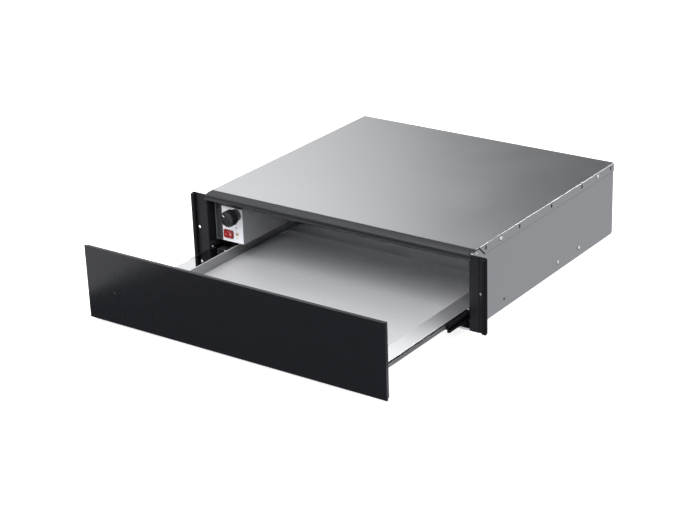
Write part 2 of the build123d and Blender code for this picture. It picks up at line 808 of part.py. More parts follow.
def fan_motor():
    """Motor on the shroud's back with a bore for its shaft and a small connection box."""
    end = shroud_back + motor_length
    motor = round_y(fan_x, shroud_back, end, fan_height, motor_radius)
    motor = fillet(motor.edges().sort_by(Axis.Y)[-1], motor_round)
    x0 = fan_x - motor_box_left
    z0, z1 = fan_height + motor_box_foot, fan_height + motor_box_top
    motor += block(x0, x0 + motor_box_width + motor_box_gap, shroud_back + motor_box_gap, end, z0, z1)
    bore = shroud_back + motor_bore
    return motor - round_y(fan_x, shroud_back - over, bore, fan_height, motor_shaft_radius + pin_fit)


def fan_impeller():
    """Radial impeller: back disc, hub and straight blades."""
    hub_front = impeller_back - fan_hub_depth
    wheel = round_y(fan_x, impeller_back - fan_disc, impeller_back, fan_height, fan_radius)
    wheel += round_y(fan_x, hub_front, impeller_back, fan_height, fan_hub_radius)
    half = fan_blade_sheet / 2
    tip = fan_radius - fan_blade_margin
    blade = block(-half, half, impeller_front, impeller_back - fan_disc / 2, fan_blade_inner, tip)
    for i in range(fan_blades):
        wheel += Pos(fan_x, 0, fan_height) * Rot(0, i * 360.0 / fan_blades, 0) * blade
    bore = motor_shaft_radius + shaft_fit
    return wheel - round_y(fan_x, impeller_back - hub_bore, impeller_back + over, fan_height, bore)


def fan_shaft():
    """Motor shaft, which turns with the impeller."""
    end = shroud_back + motor_bore - seat
    return round_y(fan_x, impeller_back - hub_bore + seat, end, fan_height, motor_shaft_radius)


def latch_body():
    """Push latch on the base pan behind the drawer, with a bore for its plunger."""
    half = latch_width / 2
    body = block(-half, half, latch_front, latch_front + latch_length, sheet, latch_top)
    bore_end = plunger_tip + plunger_length + plunger_stroke + seat
    return body - round_y(0, latch_front - over, bore_end, latch_axis, plunger_radius + pin_fit)


def latch_plunger():
    """Sprung plunger of the push latch with a domed tip."""
    pin = round_y(0, plunger_tip, plunger_tip + plunger_length, latch_axis, plunger_radius)
    return fillet(pin.edges().sort_by(Axis.Y)[0], plunger_round)


def cable_gland():
    """Inlet for the supply cable in the back sheet: nut inside, flange and spout outside, bore."""
    y0, y1 = rear_in - gland_nut, rear_out + gland_spout
    gland = round_y(gland_x, y0, y1, gland_height, gland_radius)
    gland += round_y(gland_x, rear_out, rear_out + gland_flange, gland_height, gland_flange_radius)
    gland += round_y(gland_x, y0, rear_in, gland_height, gland_flange_radius)
    return gland - round_y(gland_x, y0 - over, y1 + over, gland_height, gland_bore)


def terminal_block():
    """Supply terminals on the back sheet."""
    x0 = block_x - block_width / 2
    z1 = block_z + block_height / 2
    body = block(x0, x0 + block_width, block_front, rear_in, z1 - block_height, z1)
    for i in range(block_poles):
        x = x0 + (i + 0.5) * block_width / block_poles
        body -= round_z(x, block_front + block_hole_y, z1 - block_hole_depth, z1 + over, block_hole_radius)
    return body


def control_loom():
    """Wires from the control box to the terminals, along the left side."""
    return round_y(block_x, box_depth, block_front, block_z, loom_radius)


def loom_grommet():
    """Grommet where the wires pass the baffle."""
    outer = loom_radius + grommet_wall
    neck = loom_radius + grommet_neck
    ring = round_y(block_x, baffle_front - grommet_neck, baffle_back + grommet_neck, block_z, outer)
    groove = round_y(block_x, baffle_front, baffle_back, block_z, outer + over)
    groove -= round_y(block_x, baffle_front, baffle_back, block_z, neck)
    bore = round_y(block_x, baffle_front - outer, baffle_back + outer, block_z, loom_radius + fit)
    return ring - groove - bore


def motor_lead():
    """Wires from the terminals to the fan motor."""
    x0 = block_x + block_width / 2
    y = block_front + lead_radius + lead_gap
    return round_x(x0, fan_x - motor_box_left, y, block_z - lead_drop, lead_radius)


def sensor_bulb():
    """Thermostat's sensor bulb, clipped to the baffle."""
    y = baffle_front - bulb_radius - bulb_gap
    z = case_height - bulb_drop
    half = bulb_radius + bulb_gap
    bulb_x = side_in - bulb_from_side
    bulb = round_x(bulb_x - bulb_length / 2, bulb_x + bulb_length / 2, y, z, bulb_radius)
    for side in (-1, 1):
        x = bulb_x + side * bulb_clip_step - bulb_clip / 2
        bulb += block(x, x + bulb_clip, y, baffle_front, z - half, z + half)
    return bulb


def thermal_cutout():
    """Safety cut-out on the back of the baffle."""
    y1 = baffle_back + cutout_depth
    z0, z1 = cutout_height - cutout_ear_half, cutout_height + cutout_ear_half
    body = round_y(cutout_x, baffle_back, y1, cutout_height, cutout_radius)
    body += block(cutout_x - cutout_ear, cutout_x + cutout_ear, baffle_back, baffle_back + sheet, z0, z1)
    for side in (-1, 1):
        x = cutout_x + side * cutout_tab_step - tab_thick / 2
        z0, z1 = cutout_height - tab_width / 2, cutout_height + tab_width / 2
        body += block(x, x + tab_thick, y1, y1 + tab_length, z0, z1)
    return body


# ------------------------------------------------------------------ slides
def slide_fixed():
    """Right-hand fixed slide member: a channel on the side panel, open inwards."""
    rail = block(slide_open, side_in, slide_start, slide_end, slide_foot, slide_top)
    y0, y1 = slide_start - over, slide_end + over
    rail -= block(slide_open - over, slide_web, y0, y1, slide_floor, slide_ceiling)
    for y in low_screws:
        rail -= side_hole(slide_web, side_in, y, low_row)
    return rail


def slide_clip():
    """Front clip on the fixed member with a screw standing on its top."""
    y0 = slide_start - clip_length
    top = middle_top + clip_gap + clip_sheet
    x0 = track_in
    clip = block(x0, side_in - fit, y0, slide_start, middle_top - clip_drop, top)
    x1 = track_out + clip_gap
    clip -= block(x0 - over, x1, y0 - over, slide_start + over, 0, middle_top + clip_gap)
    head = round_z((x0 + side_in) / 2, y0 + clip_length / 2, top, top + clip_screw_height, clip_screw_radius)
    return clip + fillet(head.edges().sort_by(Axis.Z)[-1], clip_screw_height * 0.7)


def slide_middle():
    """Right-hand middle member: web with a rod-like track along each edge and an inner shelf."""
    y0, y1 = middle_start, middle_end
    lower = block(web_in, track_out, y0, y1, track_bottom, track_top)
    upper = block(web_in, track_out, y0, y1, middle_top - track_height, middle_top)
    lower = fillet(lower.edges().filter_by(Axis.Y).sort_by(Axis.X)[2:], track_round)
    upper = fillet(upper.edges().filter_by(Axis.Y).sort_by(Axis.X)[2:], track_round)
    web = block(web_in, track_in, y0, y1, track_bottom, middle_top)
    shelf = block(web_in - shelf_width, web_in, y0, y1, track_top, track_top + middle_web)
    return web + lower + upper + shelf


def slide_cage():
    """Right-hand ball cage, a slotted channel, and the balls in its holes."""
    x1 = track_out + cage_web_gap + cage_web
    low = slide_floor + ball_radius + ball_fit
    high = middle_top + ball_radius + ball_fit
    half = cage_sheet / 2
    cage = block(x1 - cage_web, x1, cage_start, cage_end, low - half, high + half)
    balls = []
    for z in (low, high):
        cage += block(ball_x - cage_width / 2, x1, cage_start, cage_end, z - half, z + half)
    for z in (low, high):
        for i in range(ball_count):
            y = cage_start + ball_pitch * (i + 0.5)
            cage -= round_z(ball_x, y, z - cage_sheet, z + cage_sheet, ball_radius + fit)
            balls.append(Pos(ball_x, y, z) * Sphere(ball_radius))
    return cage, balls


def slide_inner():
    """Right-hand drawer member: bulged strip on a web that hangs from the drawer's rim."""
    y0, y1 = tray_front + seat, tray_rear - strip_back_gap
    web_out = strip_out - strip_depth
    x0 = web_out - strip_web
    bulge = block(x0, strip_out, y0, y1, strip_bottom, strip_bottom + strip_height)
    bulge = fillet(bulge.edges().filter_by(Axis.Y).sort_by(Axis.X)[2:], strip_round)
    web = block(x0, web_out, y0, y1, strip_bottom, rim_under)
    flange = block(web_out - strip_flange, web_out, y0, y1, rim_under - tray_sheet, rim_under)
    return web + bulge + flange


# ------------------------------------------------------------------ drawer
def front_glass():
    """Dark glass front with eased front edges and a small hole for the light window."""
    glass = block(-front_x, front_x, front_y, glass_back, front_foot, front_top)
    glass = chamfer(glass.faces().sort_by(Axis.Y)[0].edges(), glass_chamfer)
    return glass - round_y(switch_x, front_y - over, glass_back + over, switch_z, window_radius)


def front_carrier():
    """Shallow pan behind the glass with pads for the brackets and the tray's front wall."""
    x1 = front_x - carrier_inset
    z0, z1 = front_foot + carrier_inset, front_top - carrier_inset
    y0 = glass_back + carrier_sheet
    pan = block(-x1, x1, glass_back, carrier_back, z0, z1)
    hollow_x = x1 - carrier_wall
    pan -= block(-hollow_x, hollow_x, y0, carrier_back + over, z0 + carrier_wall, z1 - carrier_wall)
    pad_foot = z0 + pad_margin
    pad = block(pad_inner, pad_outer, y0, carrier_back, pad_foot, z1 - pad_margin)
    wall_pad = block(-pad_inner, pad_inner, y0, carrier_back, pad_foot, pad_foot + wall_pad_height)
    pan += pad + other_side(pad) + wall_pad
    pan += round_y(switch_x, y0, carrier_back, switch_z, pipe_radius + pipe_wall)
    return pan - round_y(switch_x, glass_back - over, carrier_back + over, switch_z, pipe_radius + fit)


def light_window():
    """Clear pin through glass and carrier that shows the lit switch when the drawer is shut."""
    step = glass_back + fit
    pin = round_y(switch_x, front_y + fit, step, switch_z, window_radius - shaft_fit)
    return pin + round_y(switch_x, step, carrier_back, switch_z, pipe_radius)


def tray_front_wall():
    """Front wall of the tray, against the carrier."""
    return block(-pad_outer, pad_outer, carrier_back, tray_front, floor_under - front_wall_drop, tray_rim_top)


def tray_floor():
    """Brushed floor of the tray, which lies on the feet of the drawer sides."""
    x1 = wall_x - seat / 2
    return block(-x1, x1, tray_front, tray_rear - tray_sheet, floor_under, tray_floor_top)


def tray_back():
    """Rear wall of the tray."""
    return block(-wall_x, wall_x, tray_rear - tray_sheet, tray_rear, foot_under, tray_rim_top)


def drawer_side():
    """Right-hand drawer side: foot, upright wall, wide polished rim and a small outer fold."""
    foot_x = wall_x - side_foot
    fold_z = rim_under - rim_fold
    outline = [
        (foot_x, foot_under), (wall_x + tray_sheet, foot_under), (wall_x + tray_sheet, rim_under),
        (rim_x - tray_sheet, rim_under), (rim_x - tray_sheet, fold_z), (rim_x, fold_z),
        (rim_x, tray_rim_top), (wall_x, tray_rim_top), (wall_x, floor_under), (foot_x, floor_under),
    ]
    side = bar_y(outline, tray_front, tray_rear)
    side = fillet(side.edges().filter_by(Axis.Y).group_by(Axis.Z)[-1], tray_sheet * 0.8)
    y0, y1 = tray_rear - tray_sheet, tray_rear + over
    side -= block(foot_x - over, wall_x, y0, y1, foot_under - over, floor_under + over)
    for y in bracket_screws:
        side -= round_z(pad_middle, y, rim_under - over, tray_rim_top + over, shank_radius + fit)
    return side


def front_bracket():
    """Right-hand angle that ties the front to the drawer's rim, with two small webs."""
    foot_end = tray_front + bracket_foot
    foot_top = tray_rim_top + bracket_sheet
    upright_back = carrier_back + bracket_sheet
    upright_top = tray_rim_top + bracket_height
    bracket = block(pad_inner, pad_outer, tray_front, foot_end, tray_rim_top, foot_top)
    bracket += block(pad_inner, pad_outer, carrier_back, upright_back, tray_rim_top, upright_top)
    web = [(upright_back, foot_top), (foot_end, foot_top), (upright_back, foot_top + bracket_web)]
    for x in (pad_inner, pad_outer - bracket_sheet):
        bracket += bar_x(web, x, x + bracket_sheet)
    for y in bracket_screws:
        bracket -= round_z(pad_middle, y, tray_rim_top - over, foot_top + over, shank_radius + fit)
    return bracket


def rim_screw(y):
    """Screw through the bracket's foot and the rim."""
    return Pos(pad_middle, y, tray_rim_top + bracket_sheet) * screw()


def latch_striker():
    """Steel striker on the tray's back that meets the latch."""
    half = striker_width / 2
    z0 = latch_axis - striker_height / 2
    return block(-half, half, tray_rear, striker_back, z0, z0 + striker_height)


# ------------------------------------------------------------------ write every sub-part
os.makedirs("parts", exist_ok=True)

save("base_pan", base_pan())
save_pair("side_panel", side_panel())
save("top_cover", top_cover())
save("rear_panel", rear_panel())
save_pair("side_trim", side_trim())
save_pair("trim_seal", trim_seal())
save("top_rail", top_rail())
save("cover_screws", *both([side_screw(half_case, y, lip_row) for y in lip_screws]))
low_shank = side_out - slide_web
save("slide_screws", *both([side_screw(side_out, y, low_row, low_shank) for y in low_screws]))
save("trim_rivets", *both([rivet()]))

save("control_box", control_box())
save("control_label", control_label())
save("box_screws", *box_screws())
save("thermostat_body", thermostat_body())
save("thermostat_shaft", thermostat_shaft())
save("thermostat_dial", thermostat_dial())
save("switch_body", switch_body())
save("switch_rocker", switch_rocker())
save("pilot_lamp", pilot_lamp())

save("rear_baffle", rear_baffle())
save("ceiling_liner", ceiling_liner())
save("fan_shroud", fan_shroud())
save("heater_ring", heater_ring())
save("fan_motor", fan_motor())
save("fan_impeller", fan_impeller())
save("fan_shaft", fan_shaft())
save("latch_body", latch_body())
save("latch_plunger", latch_plunger())
save("cable_gland", cable_gland())
save("terminal_block", terminal_block())
save("control_loom", control_loom())
save("loom_grommet", loom_grommet())
save("motor_lead", motor_lead())
save("sensor_bulb", sensor_bulb())
save("thermal_cutout", thermal_cutout())

save_pair("slide_fixed", slide_fixed())
save_pair("slide_clip", slide_clip())
save_pair("slide_middle", slide_middle())
save_pair("slide_inner", slide_inner())
cage, balls = slide_cage()
save("slide_cage_right", cage, *balls)
save("slide_cage_left", other_side(cage), *[other_side(b) for b in balls])

save("front_glass", front_glass())
save("front_carrier", front_carrier())
save("light_window", light_window())
save("tray_front_wall", tray_front_wall())
save("tray_floor", tray_floor())
save("tray_back", tray_back())
save_pair("drawer_side", drawer_side())
save_pair("front_bracket", front_bracket())
save("rim_screws", *both([rim_screw(y) for y in bracket_screws]))
save("latch_striker", latch_striker())

print(f"front face {front_y:.1f}, tray {tray_front:.1f} to {tray_rear:.1f}, rim {rim_x:.1f}")
print(f"track {track_bottom:.2f} to {track_top:.2f}, slide top {slide_top:.2f}, strip at {strip_bottom:.2f}")
print(f"middle {middle_start:.1f} to {middle_end:.1f}, cage {cage_start:.1f} to {cage_end:.1f}")
print(f"opens {opening_shown:.1f} and {opening_more:.1f} more; fan {fan_height:.1f}, {fan_radius:.1f}")
print(f"switch at {switch_x:.1f}, {switch_z:.1f}, dial at {dial_x:.1f}, {dial_z:.1f}")
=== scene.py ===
# %% [markdown]
# # A built-in warming drawer, dressed for the camera
# The steel housing of this drawer slides into a kitchen unit, so only the dark glass front is ever seen.
# Here the drawer stands pulled out: a brushed tray on telescopic slides, a black rail under the steel top,
# and a dial and a red switch on a small box inside. The CAD frame gives every place and size. This lesson
# gives each sheet its bent edges, each screw its recess and each surface its finish.

import bmesh
import bpy
import json
from math import cos, pi, radians, sin
from mathutils import Matrix, Vector


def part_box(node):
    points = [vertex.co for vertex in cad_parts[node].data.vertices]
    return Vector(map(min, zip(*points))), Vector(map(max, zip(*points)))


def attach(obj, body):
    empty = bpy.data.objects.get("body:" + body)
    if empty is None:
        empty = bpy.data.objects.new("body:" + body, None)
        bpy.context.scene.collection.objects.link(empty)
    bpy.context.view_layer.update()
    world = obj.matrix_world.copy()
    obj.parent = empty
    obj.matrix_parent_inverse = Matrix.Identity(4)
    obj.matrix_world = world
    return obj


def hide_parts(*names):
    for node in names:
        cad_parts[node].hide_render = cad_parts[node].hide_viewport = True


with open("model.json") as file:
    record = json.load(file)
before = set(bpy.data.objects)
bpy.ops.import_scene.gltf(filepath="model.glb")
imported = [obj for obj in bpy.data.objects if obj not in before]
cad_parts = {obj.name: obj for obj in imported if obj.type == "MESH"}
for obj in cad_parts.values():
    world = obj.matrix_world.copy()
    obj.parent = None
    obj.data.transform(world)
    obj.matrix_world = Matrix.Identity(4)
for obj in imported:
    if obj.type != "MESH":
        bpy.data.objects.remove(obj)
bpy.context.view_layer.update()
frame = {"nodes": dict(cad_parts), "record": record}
MM = 0.001                            # one millimetre, in Blender's metres
print("CAD nodes", len(frame["nodes"]))

# %% [markdown]
# ## The camera
# The photograph was taken from the front right, a little above the drawer, with a long lens. A camera is
# best set first, because every later choice is judged through it. Its three axes are built from the yaw,
# pitch and roll that fit the straight edges in the photograph, and they are written into its matrix.

# %% Camera
YAW, PITCH, ROLL = radians(35.687), radians(22.799), radians(-1.987)
CAMERA_PLACE = Vector((1.6615, -2.2829, 1.2419))
LENS_MM = 93.48
level_right = Vector((cos(YAW), sin(YAW), 0))
looking = Vector((-sin(YAW) * cos(PITCH), cos(YAW) * cos(PITCH), -sin(PITCH)))
level_up = level_right.cross(looking)
camera_right = level_right * cos(ROLL) + level_up * sin(ROLL)
camera_up = level_up * cos(ROLL) - level_right * sin(ROLL)
camera = bpy.data.objects.new("camera", bpy.data.cameras.new("camera"))
camera.data.lens = LENS_MM
camera.data.clip_start, camera.data.clip_end = 0.05, 60
turn = Matrix((camera_right, camera_up, -looking)).transposed().to_4x4()
camera.matrix_world = Matrix.Translation(CAMERA_PLACE) @ turn
bpy.context.scene.collection.objects.link(camera)
bpy.context.scene.camera = camera
bpy.context.scene.view_settings.view_transform = "Standard"
print("camera looks along", [round(x, 3) for x in looking])

# %% [markdown]
# ## Shader groups
# A finish is convincing when its colour, its gloss and its relief change together. Each group below
# makes one such change and puts out only masks, so that any material can use it with its own values.
# The Principled shader itself stays in the material.

# %% Helpers for shader nodes
def put(tree, kind, sockets=None, **settings):
    """Adds a shader node, with its settings and the values of its sockets."""
    node = tree.nodes.new("ShaderNode" + kind)
    for name, value in settings.items():
        setattr(node, name, value)
    for name, value in (sockets or {}).items():
        node.inputs[name].default_value = value
    return node


def new_group(name, inputs, outputs):
    """A shader group with named sockets, and its two end nodes."""
    tree = bpy.data.node_groups.new(name, "ShaderNodeTree")
    for socket, kind, value in inputs:
        made = tree.interface.new_socket(name=socket, in_out="INPUT", socket_type="NodeSocket" + kind)
        made.default_value = value
    for socket in outputs:
        tree.interface.new_socket(name=socket, in_out="OUTPUT", socket_type="NodeSocketFloat")
    return tree, tree.nodes.new("NodeGroupInput"), tree.nodes.new("NodeGroupOutput")


print("shader helpers are ready")

# %% [markdown]
# ### Grain
# Rolled and brushed sheet shows fine lines along one direction and faint clouds across the sheet. Noise
# on stretched coordinates makes the lines, and slow noise on the plain coordinates makes the clouds.

# %% Grain group
def make_grain():
    """The group with the lines and clouds of a sheet."""
    tree, start, end = new_group(
        "grain",
        [("Place", "Vector", (0, 0, 0)), ("Stretch", "Vector", (1, 1, 1)), ("Scale", "Float", 500.0)],
        ["Lines", "Clouds"])
    link = tree.links.new
    stretched = put(tree, "VectorMath", operation="MULTIPLY")
    link(start.outputs["Place"], stretched.inputs[0])
    link(start.outputs["Stretch"], stretched.inputs[1])
    lines = put(tree, "TexNoise", {"Detail": 5.0, "Roughness": 0.65})
    link(stretched.outputs[0], lines.inputs["Vector"])
    link(start.outputs["Scale"], lines.inputs["Scale"])
    spread = put(tree, "MapRange", {"From Min": 0.25, "From Max": 0.75})
    link(lines.outputs["Fac"], spread.inputs["Value"])
    link(spread.outputs["Result"], end.inputs["Lines"])
    clouds = put(tree, "TexNoise", {"Scale": 7.0, "Detail": 3.0, "Roughness": 0.5})
    link(start.outputs["Place"], clouds.inputs["Vector"])
    wide = put(tree, "MapRange", {"From Min": 0.3, "From Max": 0.7})
    link(clouds.outputs["Fac"], wide.inputs["Value"])
    link(wide.outputs["Result"], end.inputs["Clouds"])
    return tree


GRAIN = make_grain()
outputs = [socket.name for socket in GRAIN.interface.items_tree if socket.in_out == "OUTPUT"]
print("group", GRAIN.name, "puts out", outputs)

# %% [markdown]
# ### Dust
# Dust lies on what faces up, in small specks that thin out. A mask of fine noise, cut at a threshold and
# held to the faces that look upwards, is enough to break a dark gloss.

# %% Dust group
def make_dust():
    """The group with the mask of the dust."""
    tree, start, end = new_group(
        "dust",
        [("Place", "Vector", (0, 0, 0)), ("Scale", "Float", 900.0), ("Amount", "Float", 0.2)],
        ["Mask"])
    link = tree.links.new
    specks = put(tree, "TexNoise", {"Detail": 2.0})
    link(start.outputs["Place"], specks.inputs["Vector"])
    link(start.outputs["Scale"], specks.inputs["Scale"])
    cut = put(tree, "MapRange", {"From Min": 0.62, "From Max": 0.8})
    link(specks.outputs["Fac"], cut.inputs["Value"])
    facing = put(tree, "NewGeometry")
    upward = put(tree, "SeparateXYZ")
    link(facing.outputs["Normal"], upward.inputs[0])
    above = put(tree, "MapRange", {"From Min": 0.1, "From Max": 0.9})
    link(upward.outputs["Z"], above.inputs["Value"])
    both = put(tree, "Math", operation="MULTIPLY")
    link(cut.outputs["Result"], both.inputs[0])
    link(above.outputs["Result"], both.inputs[1])
    scaled = put(tree, "Math", operation="MULTIPLY")
    link(both.outputs[0], scaled.inputs[0])
    link(start.outputs["Amount"], scaled.inputs[1])
    link(scaled.outputs[0], end.inputs["Mask"])
    return tree


DUST = make_dust()
print("group", DUST.name, "has", len(DUST.nodes), "nodes")

# %% [markdown]
# ## Finishes
# One function wires the groups into a Principled shader. Two shades of the colour follow the lines, the
# gloss follows lines and clouds, and a very shallow bump follows the lines. What is the same all over a
# surface, such as how metallic it is, is set on the shader's own socket.

# %% A function that makes a finish
DUST_COLOUR = (0.55, 0.54, 0.52, 1.0)
CLOUD_GLOSS = 0.03                    # how much the clouds change the roughness
BUMP_DEPTH = 0.0002                   # depth of the relief at full strength, in metres
FINISHES = {}


def finish(name, dark, light, rough, scale, relief, dust, stretch=(1, 1, 1), plain=None):
    """A finish: two shades, a range of roughness, the grain's scale, relief, dust and stretch."""
    material = bpy.data.materials.new(name)
    material.use_nodes = True
    tree = material.node_tree
    tree.nodes.clear()
    link = tree.links.new
    end = put(tree, "OutputMaterial")
    shader = put(tree, "BsdfPrincipled", plain)
    link(shader.outputs[0], end.inputs["Surface"])
    place = put(tree, "TexCoord")
    grain = put(tree, "Group", node_tree=GRAIN)
    grain.inputs["Stretch"].default_value = stretch
    grain.inputs["Scale"].default_value = scale
    link(place.outputs["Object"], grain.inputs["Place"])
    shade = put(tree, "Mix", data_type="RGBA")
    shade.inputs["A"].default_value = (*dark, 1.0)
    shade.inputs["B"].default_value = (*light, 1.0)
    link(grain.outputs["Lines"], shade.inputs["Factor"])
    specks = put(tree, "Group", node_tree=DUST)
    specks.inputs["Amount"].default_value = dust
    link(place.outputs["Object"], specks.inputs["Place"])
    dusty = put(tree, "Mix", data_type="RGBA")
    dusty.inputs["B"].default_value = DUST_COLOUR
    link(specks.outputs["Mask"], dusty.inputs["Factor"])
    link(shade.outputs["Result"], dusty.inputs["A"])
    link(dusty.outputs["Result"], shader.inputs["Base Color"])
    gloss = put(tree, "MapRange", {"To Min": rough[0], "To Max": rough[1]})
    link(grain.outputs["Lines"], gloss.inputs["Value"])
    cloudy = put(tree, "Math", {1: CLOUD_GLOSS}, operation="MULTIPLY")
    link(grain.outputs["Clouds"], cloudy.inputs[0])
    total = put(tree, "Math", operation="ADD")
    link(gloss.outputs["Result"], total.inputs[0])
    link(cloudy.outputs[0], total.inputs[1])
    link(total.outputs[0], shader.inputs["Roughness"])
    bump = put(tree, "Bump", {"Strength": relief, "Distance": BUMP_DEPTH})
    link(grain.outputs["Lines"], bump.inputs["Height"])
    link(bump.outputs[0], shader.inputs["Normal"])
    FINISHES[name] = material


print("every finish uses the groups", GRAIN.name, "and", DUST.name)

# %% [markdown]
# ### Steel sheets
# The housing is galvanised sheet with a fine rolled grain across it. The tray is brushed stainless steel,
# and the slides are zinc-plated. Most are pure metal: their colour is the colour of what they reflect, so
# it stays a plain grey.

# %% Sheets and slides
METAL = {"Metallic": 1.0}
finish("galvanised", (0.5, 0.51, 0.525), (0.58, 0.59, 0.605), (0.26, 0.34), stretch=(0.12, 1, 1),
       scale=1500.0, relief=0.08, dust=0.02, plain=METAL)
finish("tray_steel", (0.6, 0.605, 0.615), (0.7, 0.705, 0.715), (0.5, 0.58), stretch=(0.06, 1, 1),
       scale=1400.0, relief=0.08, dust=0.02, plain={"Metallic": 0.5})
finish("box_steel", (0.4, 0.405, 0.42), (0.46, 0.465, 0.48), (0.42, 0.5), stretch=(1, 0.12, 1),
       scale=1500.0, relief=0.08, dust=0.02, plain={"Metallic": 0.5})
finish("zinc", (0.24, 0.245, 0.255), (0.32, 0.325, 0.335), (0.34, 0.46), stretch=(1, 0.2, 1),
       scale=700.0, relief=0.06, dust=0.02, plain=METAL)
# This darker zinc is painted shade on the fixed slide members.
finish("dark_zinc", (0.05, 0.051, 0.054), (0.08, 0.081, 0.085), (0.36, 0.48), stretch=(1, 0.2, 1),
       scale=700.0, relief=0.06, dust=0.02, plain=METAL)
print("finishes with the sheets:", len(FINISHES))

# %% [markdown]
# ### Rims
# The tray's back and rims are polished, so they mirror the housing. Their grain runs along the drawer. The
# rims are one steel, but the left rim gets a darker grey and a darker mirror as painted shade, with a light
# bend strip as a painted highlight, and the right one gets a light satin as a painted sheen.

# %% Rims
finish("polished_steel", (0.66, 0.665, 0.675), (0.72, 0.725, 0.735), (0.07, 0.12), stretch=(1, 0.05, 1),
       scale=900.0, relief=0.03, dust=0.02, plain=METAL)
# The darker grey and darker mirror below are painted shade, the light satin is a painted sheen, and the
# light bend edge is a painted highlight.
finish("shade_grey_rim", (0.38, 0.383, 0.39), (0.43, 0.433, 0.44), (0.07, 0.12), stretch=(1, 0.05, 1),
       scale=900.0, relief=0.03, dust=0.02, plain=METAL)
finish("shade_mirror_rim", (0.42, 0.423, 0.43), (0.46, 0.463, 0.47), (0.03, 0.06), stretch=(1, 0.05, 1),
       scale=900.0, relief=0.02, dust=0.0, plain=METAL)
finish("sheen_satin_rim", (0.93, 0.935, 0.945), (0.97, 0.975, 0.985), (0.37, 0.43), stretch=(1, 0.05, 1),
       scale=900.0, relief=0.05, dust=0.02, plain=METAL)
finish("highlight_bend_edge", (0.88, 0.885, 0.9), (0.93, 0.935, 0.95), (0.3, 0.36), stretch=(1, 0.05, 1),
       scale=900.0, relief=0.03, dust=0.0, plain={"Metallic": 0.3})
print("finishes with the rims:", len(FINISHES))

# %% [markdown]
# ### Screws and the parts inside
# Screws are turned and plated, so they have no grain along one direction. The heater is darker and brown
# from heat, and the motor has the close rings of its stacked sheets.

# %% Small metal parts
finish("screw_steel", (0.66, 0.67, 0.69), (0.76, 0.77, 0.79), (0.16, 0.26), scale=2500.0, relief=0.04,
       dust=0.0, plain=METAL)
# A lighter, less metallic copy of the screw steel, so that the heads come out white: a painted highlight.
finish("highlight_screw", (0.86, 0.865, 0.88), (0.92, 0.925, 0.94), (0.2, 0.28), scale=2500.0, relief=0.03,
       dust=0.0, plain={"Metallic": 0.3})
finish("heater_steel", (0.22, 0.19, 0.17), (0.38, 0.35, 0.32), (0.3, 0.5), scale=300.0, relief=0.1,
       dust=0.0, plain=METAL)
finish("aluminium", (0.68, 0.69, 0.7), (0.76, 0.77, 0.78), (0.28, 0.4), stretch=(1, 0.1, 1),
       scale=800.0, relief=0.06, dust=0.05, plain=METAL)
finish("motor_steel", (0.14, 0.14, 0.15), (0.22, 0.22, 0.23), (0.35, 0.5), stretch=(1, 0.02, 1),
       scale=1200.0, relief=0.15, dust=0.1, plain={"Metallic": 0.9})
print("finishes with the small metals:", len(FINISHES))

# %% [markdown]
# ### Paint and rubber
# The rail and trims carry a satin black paint with a slight orange peel. The rubber of the seals is duller
# and gives back almost nothing.

# %% Paints and rubber
finish("black_paint", (0.009, 0.0095, 0.0115), (0.015, 0.016, 0.019), (0.38, 0.46), scale=900.0,
       relief=0.12, dust=0.03, plain={"Specular IOR Level": 0.3})
finish("trim_paint", (0.007, 0.0075, 0.0095), (0.012, 0.0125, 0.0155), (0.46, 0.54), scale=900.0,
       relief=0.12, dust=0.02, plain={"Specular IOR Level": 0.16})
# The next two are painted light beside the label: a dark paint for the bare steel's dark reflection, and a
# grey for a highlight along its edge.
finish("dark_reflection_paint", (0.026, 0.027, 0.03), (0.045, 0.046, 0.05), (0.4, 0.52), scale=700.0, relief=0.15,
       dust=0.02, plain={"Specular IOR Level": 0.3})
finish("edge_highlight_grey", (0.1, 0.102, 0.108), (0.16, 0.163, 0.17), (0.36, 0.46), scale=900.0, relief=0.05,
       dust=0.0)
finish("black_seal", (0.004, 0.0042, 0.005), (0.008, 0.0084, 0.0095), (0.5, 0.62), scale=1100.0,
       relief=0.2, dust=0.03, plain={"Specular IOR Level": 0.1})
finish("wire_cover", (0.04, 0.04, 0.042), (0.11, 0.11, 0.115), (0.5, 0.7), stretch=(1, 0.3, 1),
       scale=900.0, relief=0.4, dust=0.1)
print("finishes with the paints:", len(FINISHES))

# %% [markdown]
# ### Plastics and the label
# The switch is glossy moulded plastic, and the dial is dull with a fine texture. The label is a smooth
# white film, and its marks are matt.

# %% Plastics and marks
finish("black_plastic", (0.014, 0.014, 0.016), (0.024, 0.024, 0.027), (0.24, 0.34), scale=2200.0,
       relief=0.12, dust=0.05)
finish("grey_plastic", (0.05, 0.05, 0.053), (0.085, 0.085, 0.09), (0.35, 0.45), scale=2200.0,
       relief=0.1, dust=0.05)
finish("dial_plastic", (0.008, 0.008, 0.009), (0.02, 0.02, 0.0225), (0.36, 0.5), scale=2600.0,
       relief=0.25, dust=0.03, plain={"Specular IOR Level": 0.25})
finish("red_plastic", (0.3, 0.012, 0.012), (0.38, 0.018, 0.018), (0.12, 0.2), scale=1200.0, relief=0.03,
       dust=0.0, plain={"Coat Weight": 0.4, "Coat Roughness": 0.08})
finish("dark_red_plastic", (0.2, 0.01, 0.011), (0.28, 0.015, 0.016), (0.16, 0.26), scale=1200.0,
       relief=0.03, dust=0.0)
finish("cream_plastic", (0.72, 0.68, 0.56), (0.8, 0.76, 0.64), (0.2, 0.3), scale=1500.0, relief=0.03,
       dust=0.0)
finish("white_plastic", (0.66, 0.66, 0.64), (0.74, 0.74, 0.72), (0.3, 0.4), scale=1500.0, relief=0.04,
       dust=0.0)
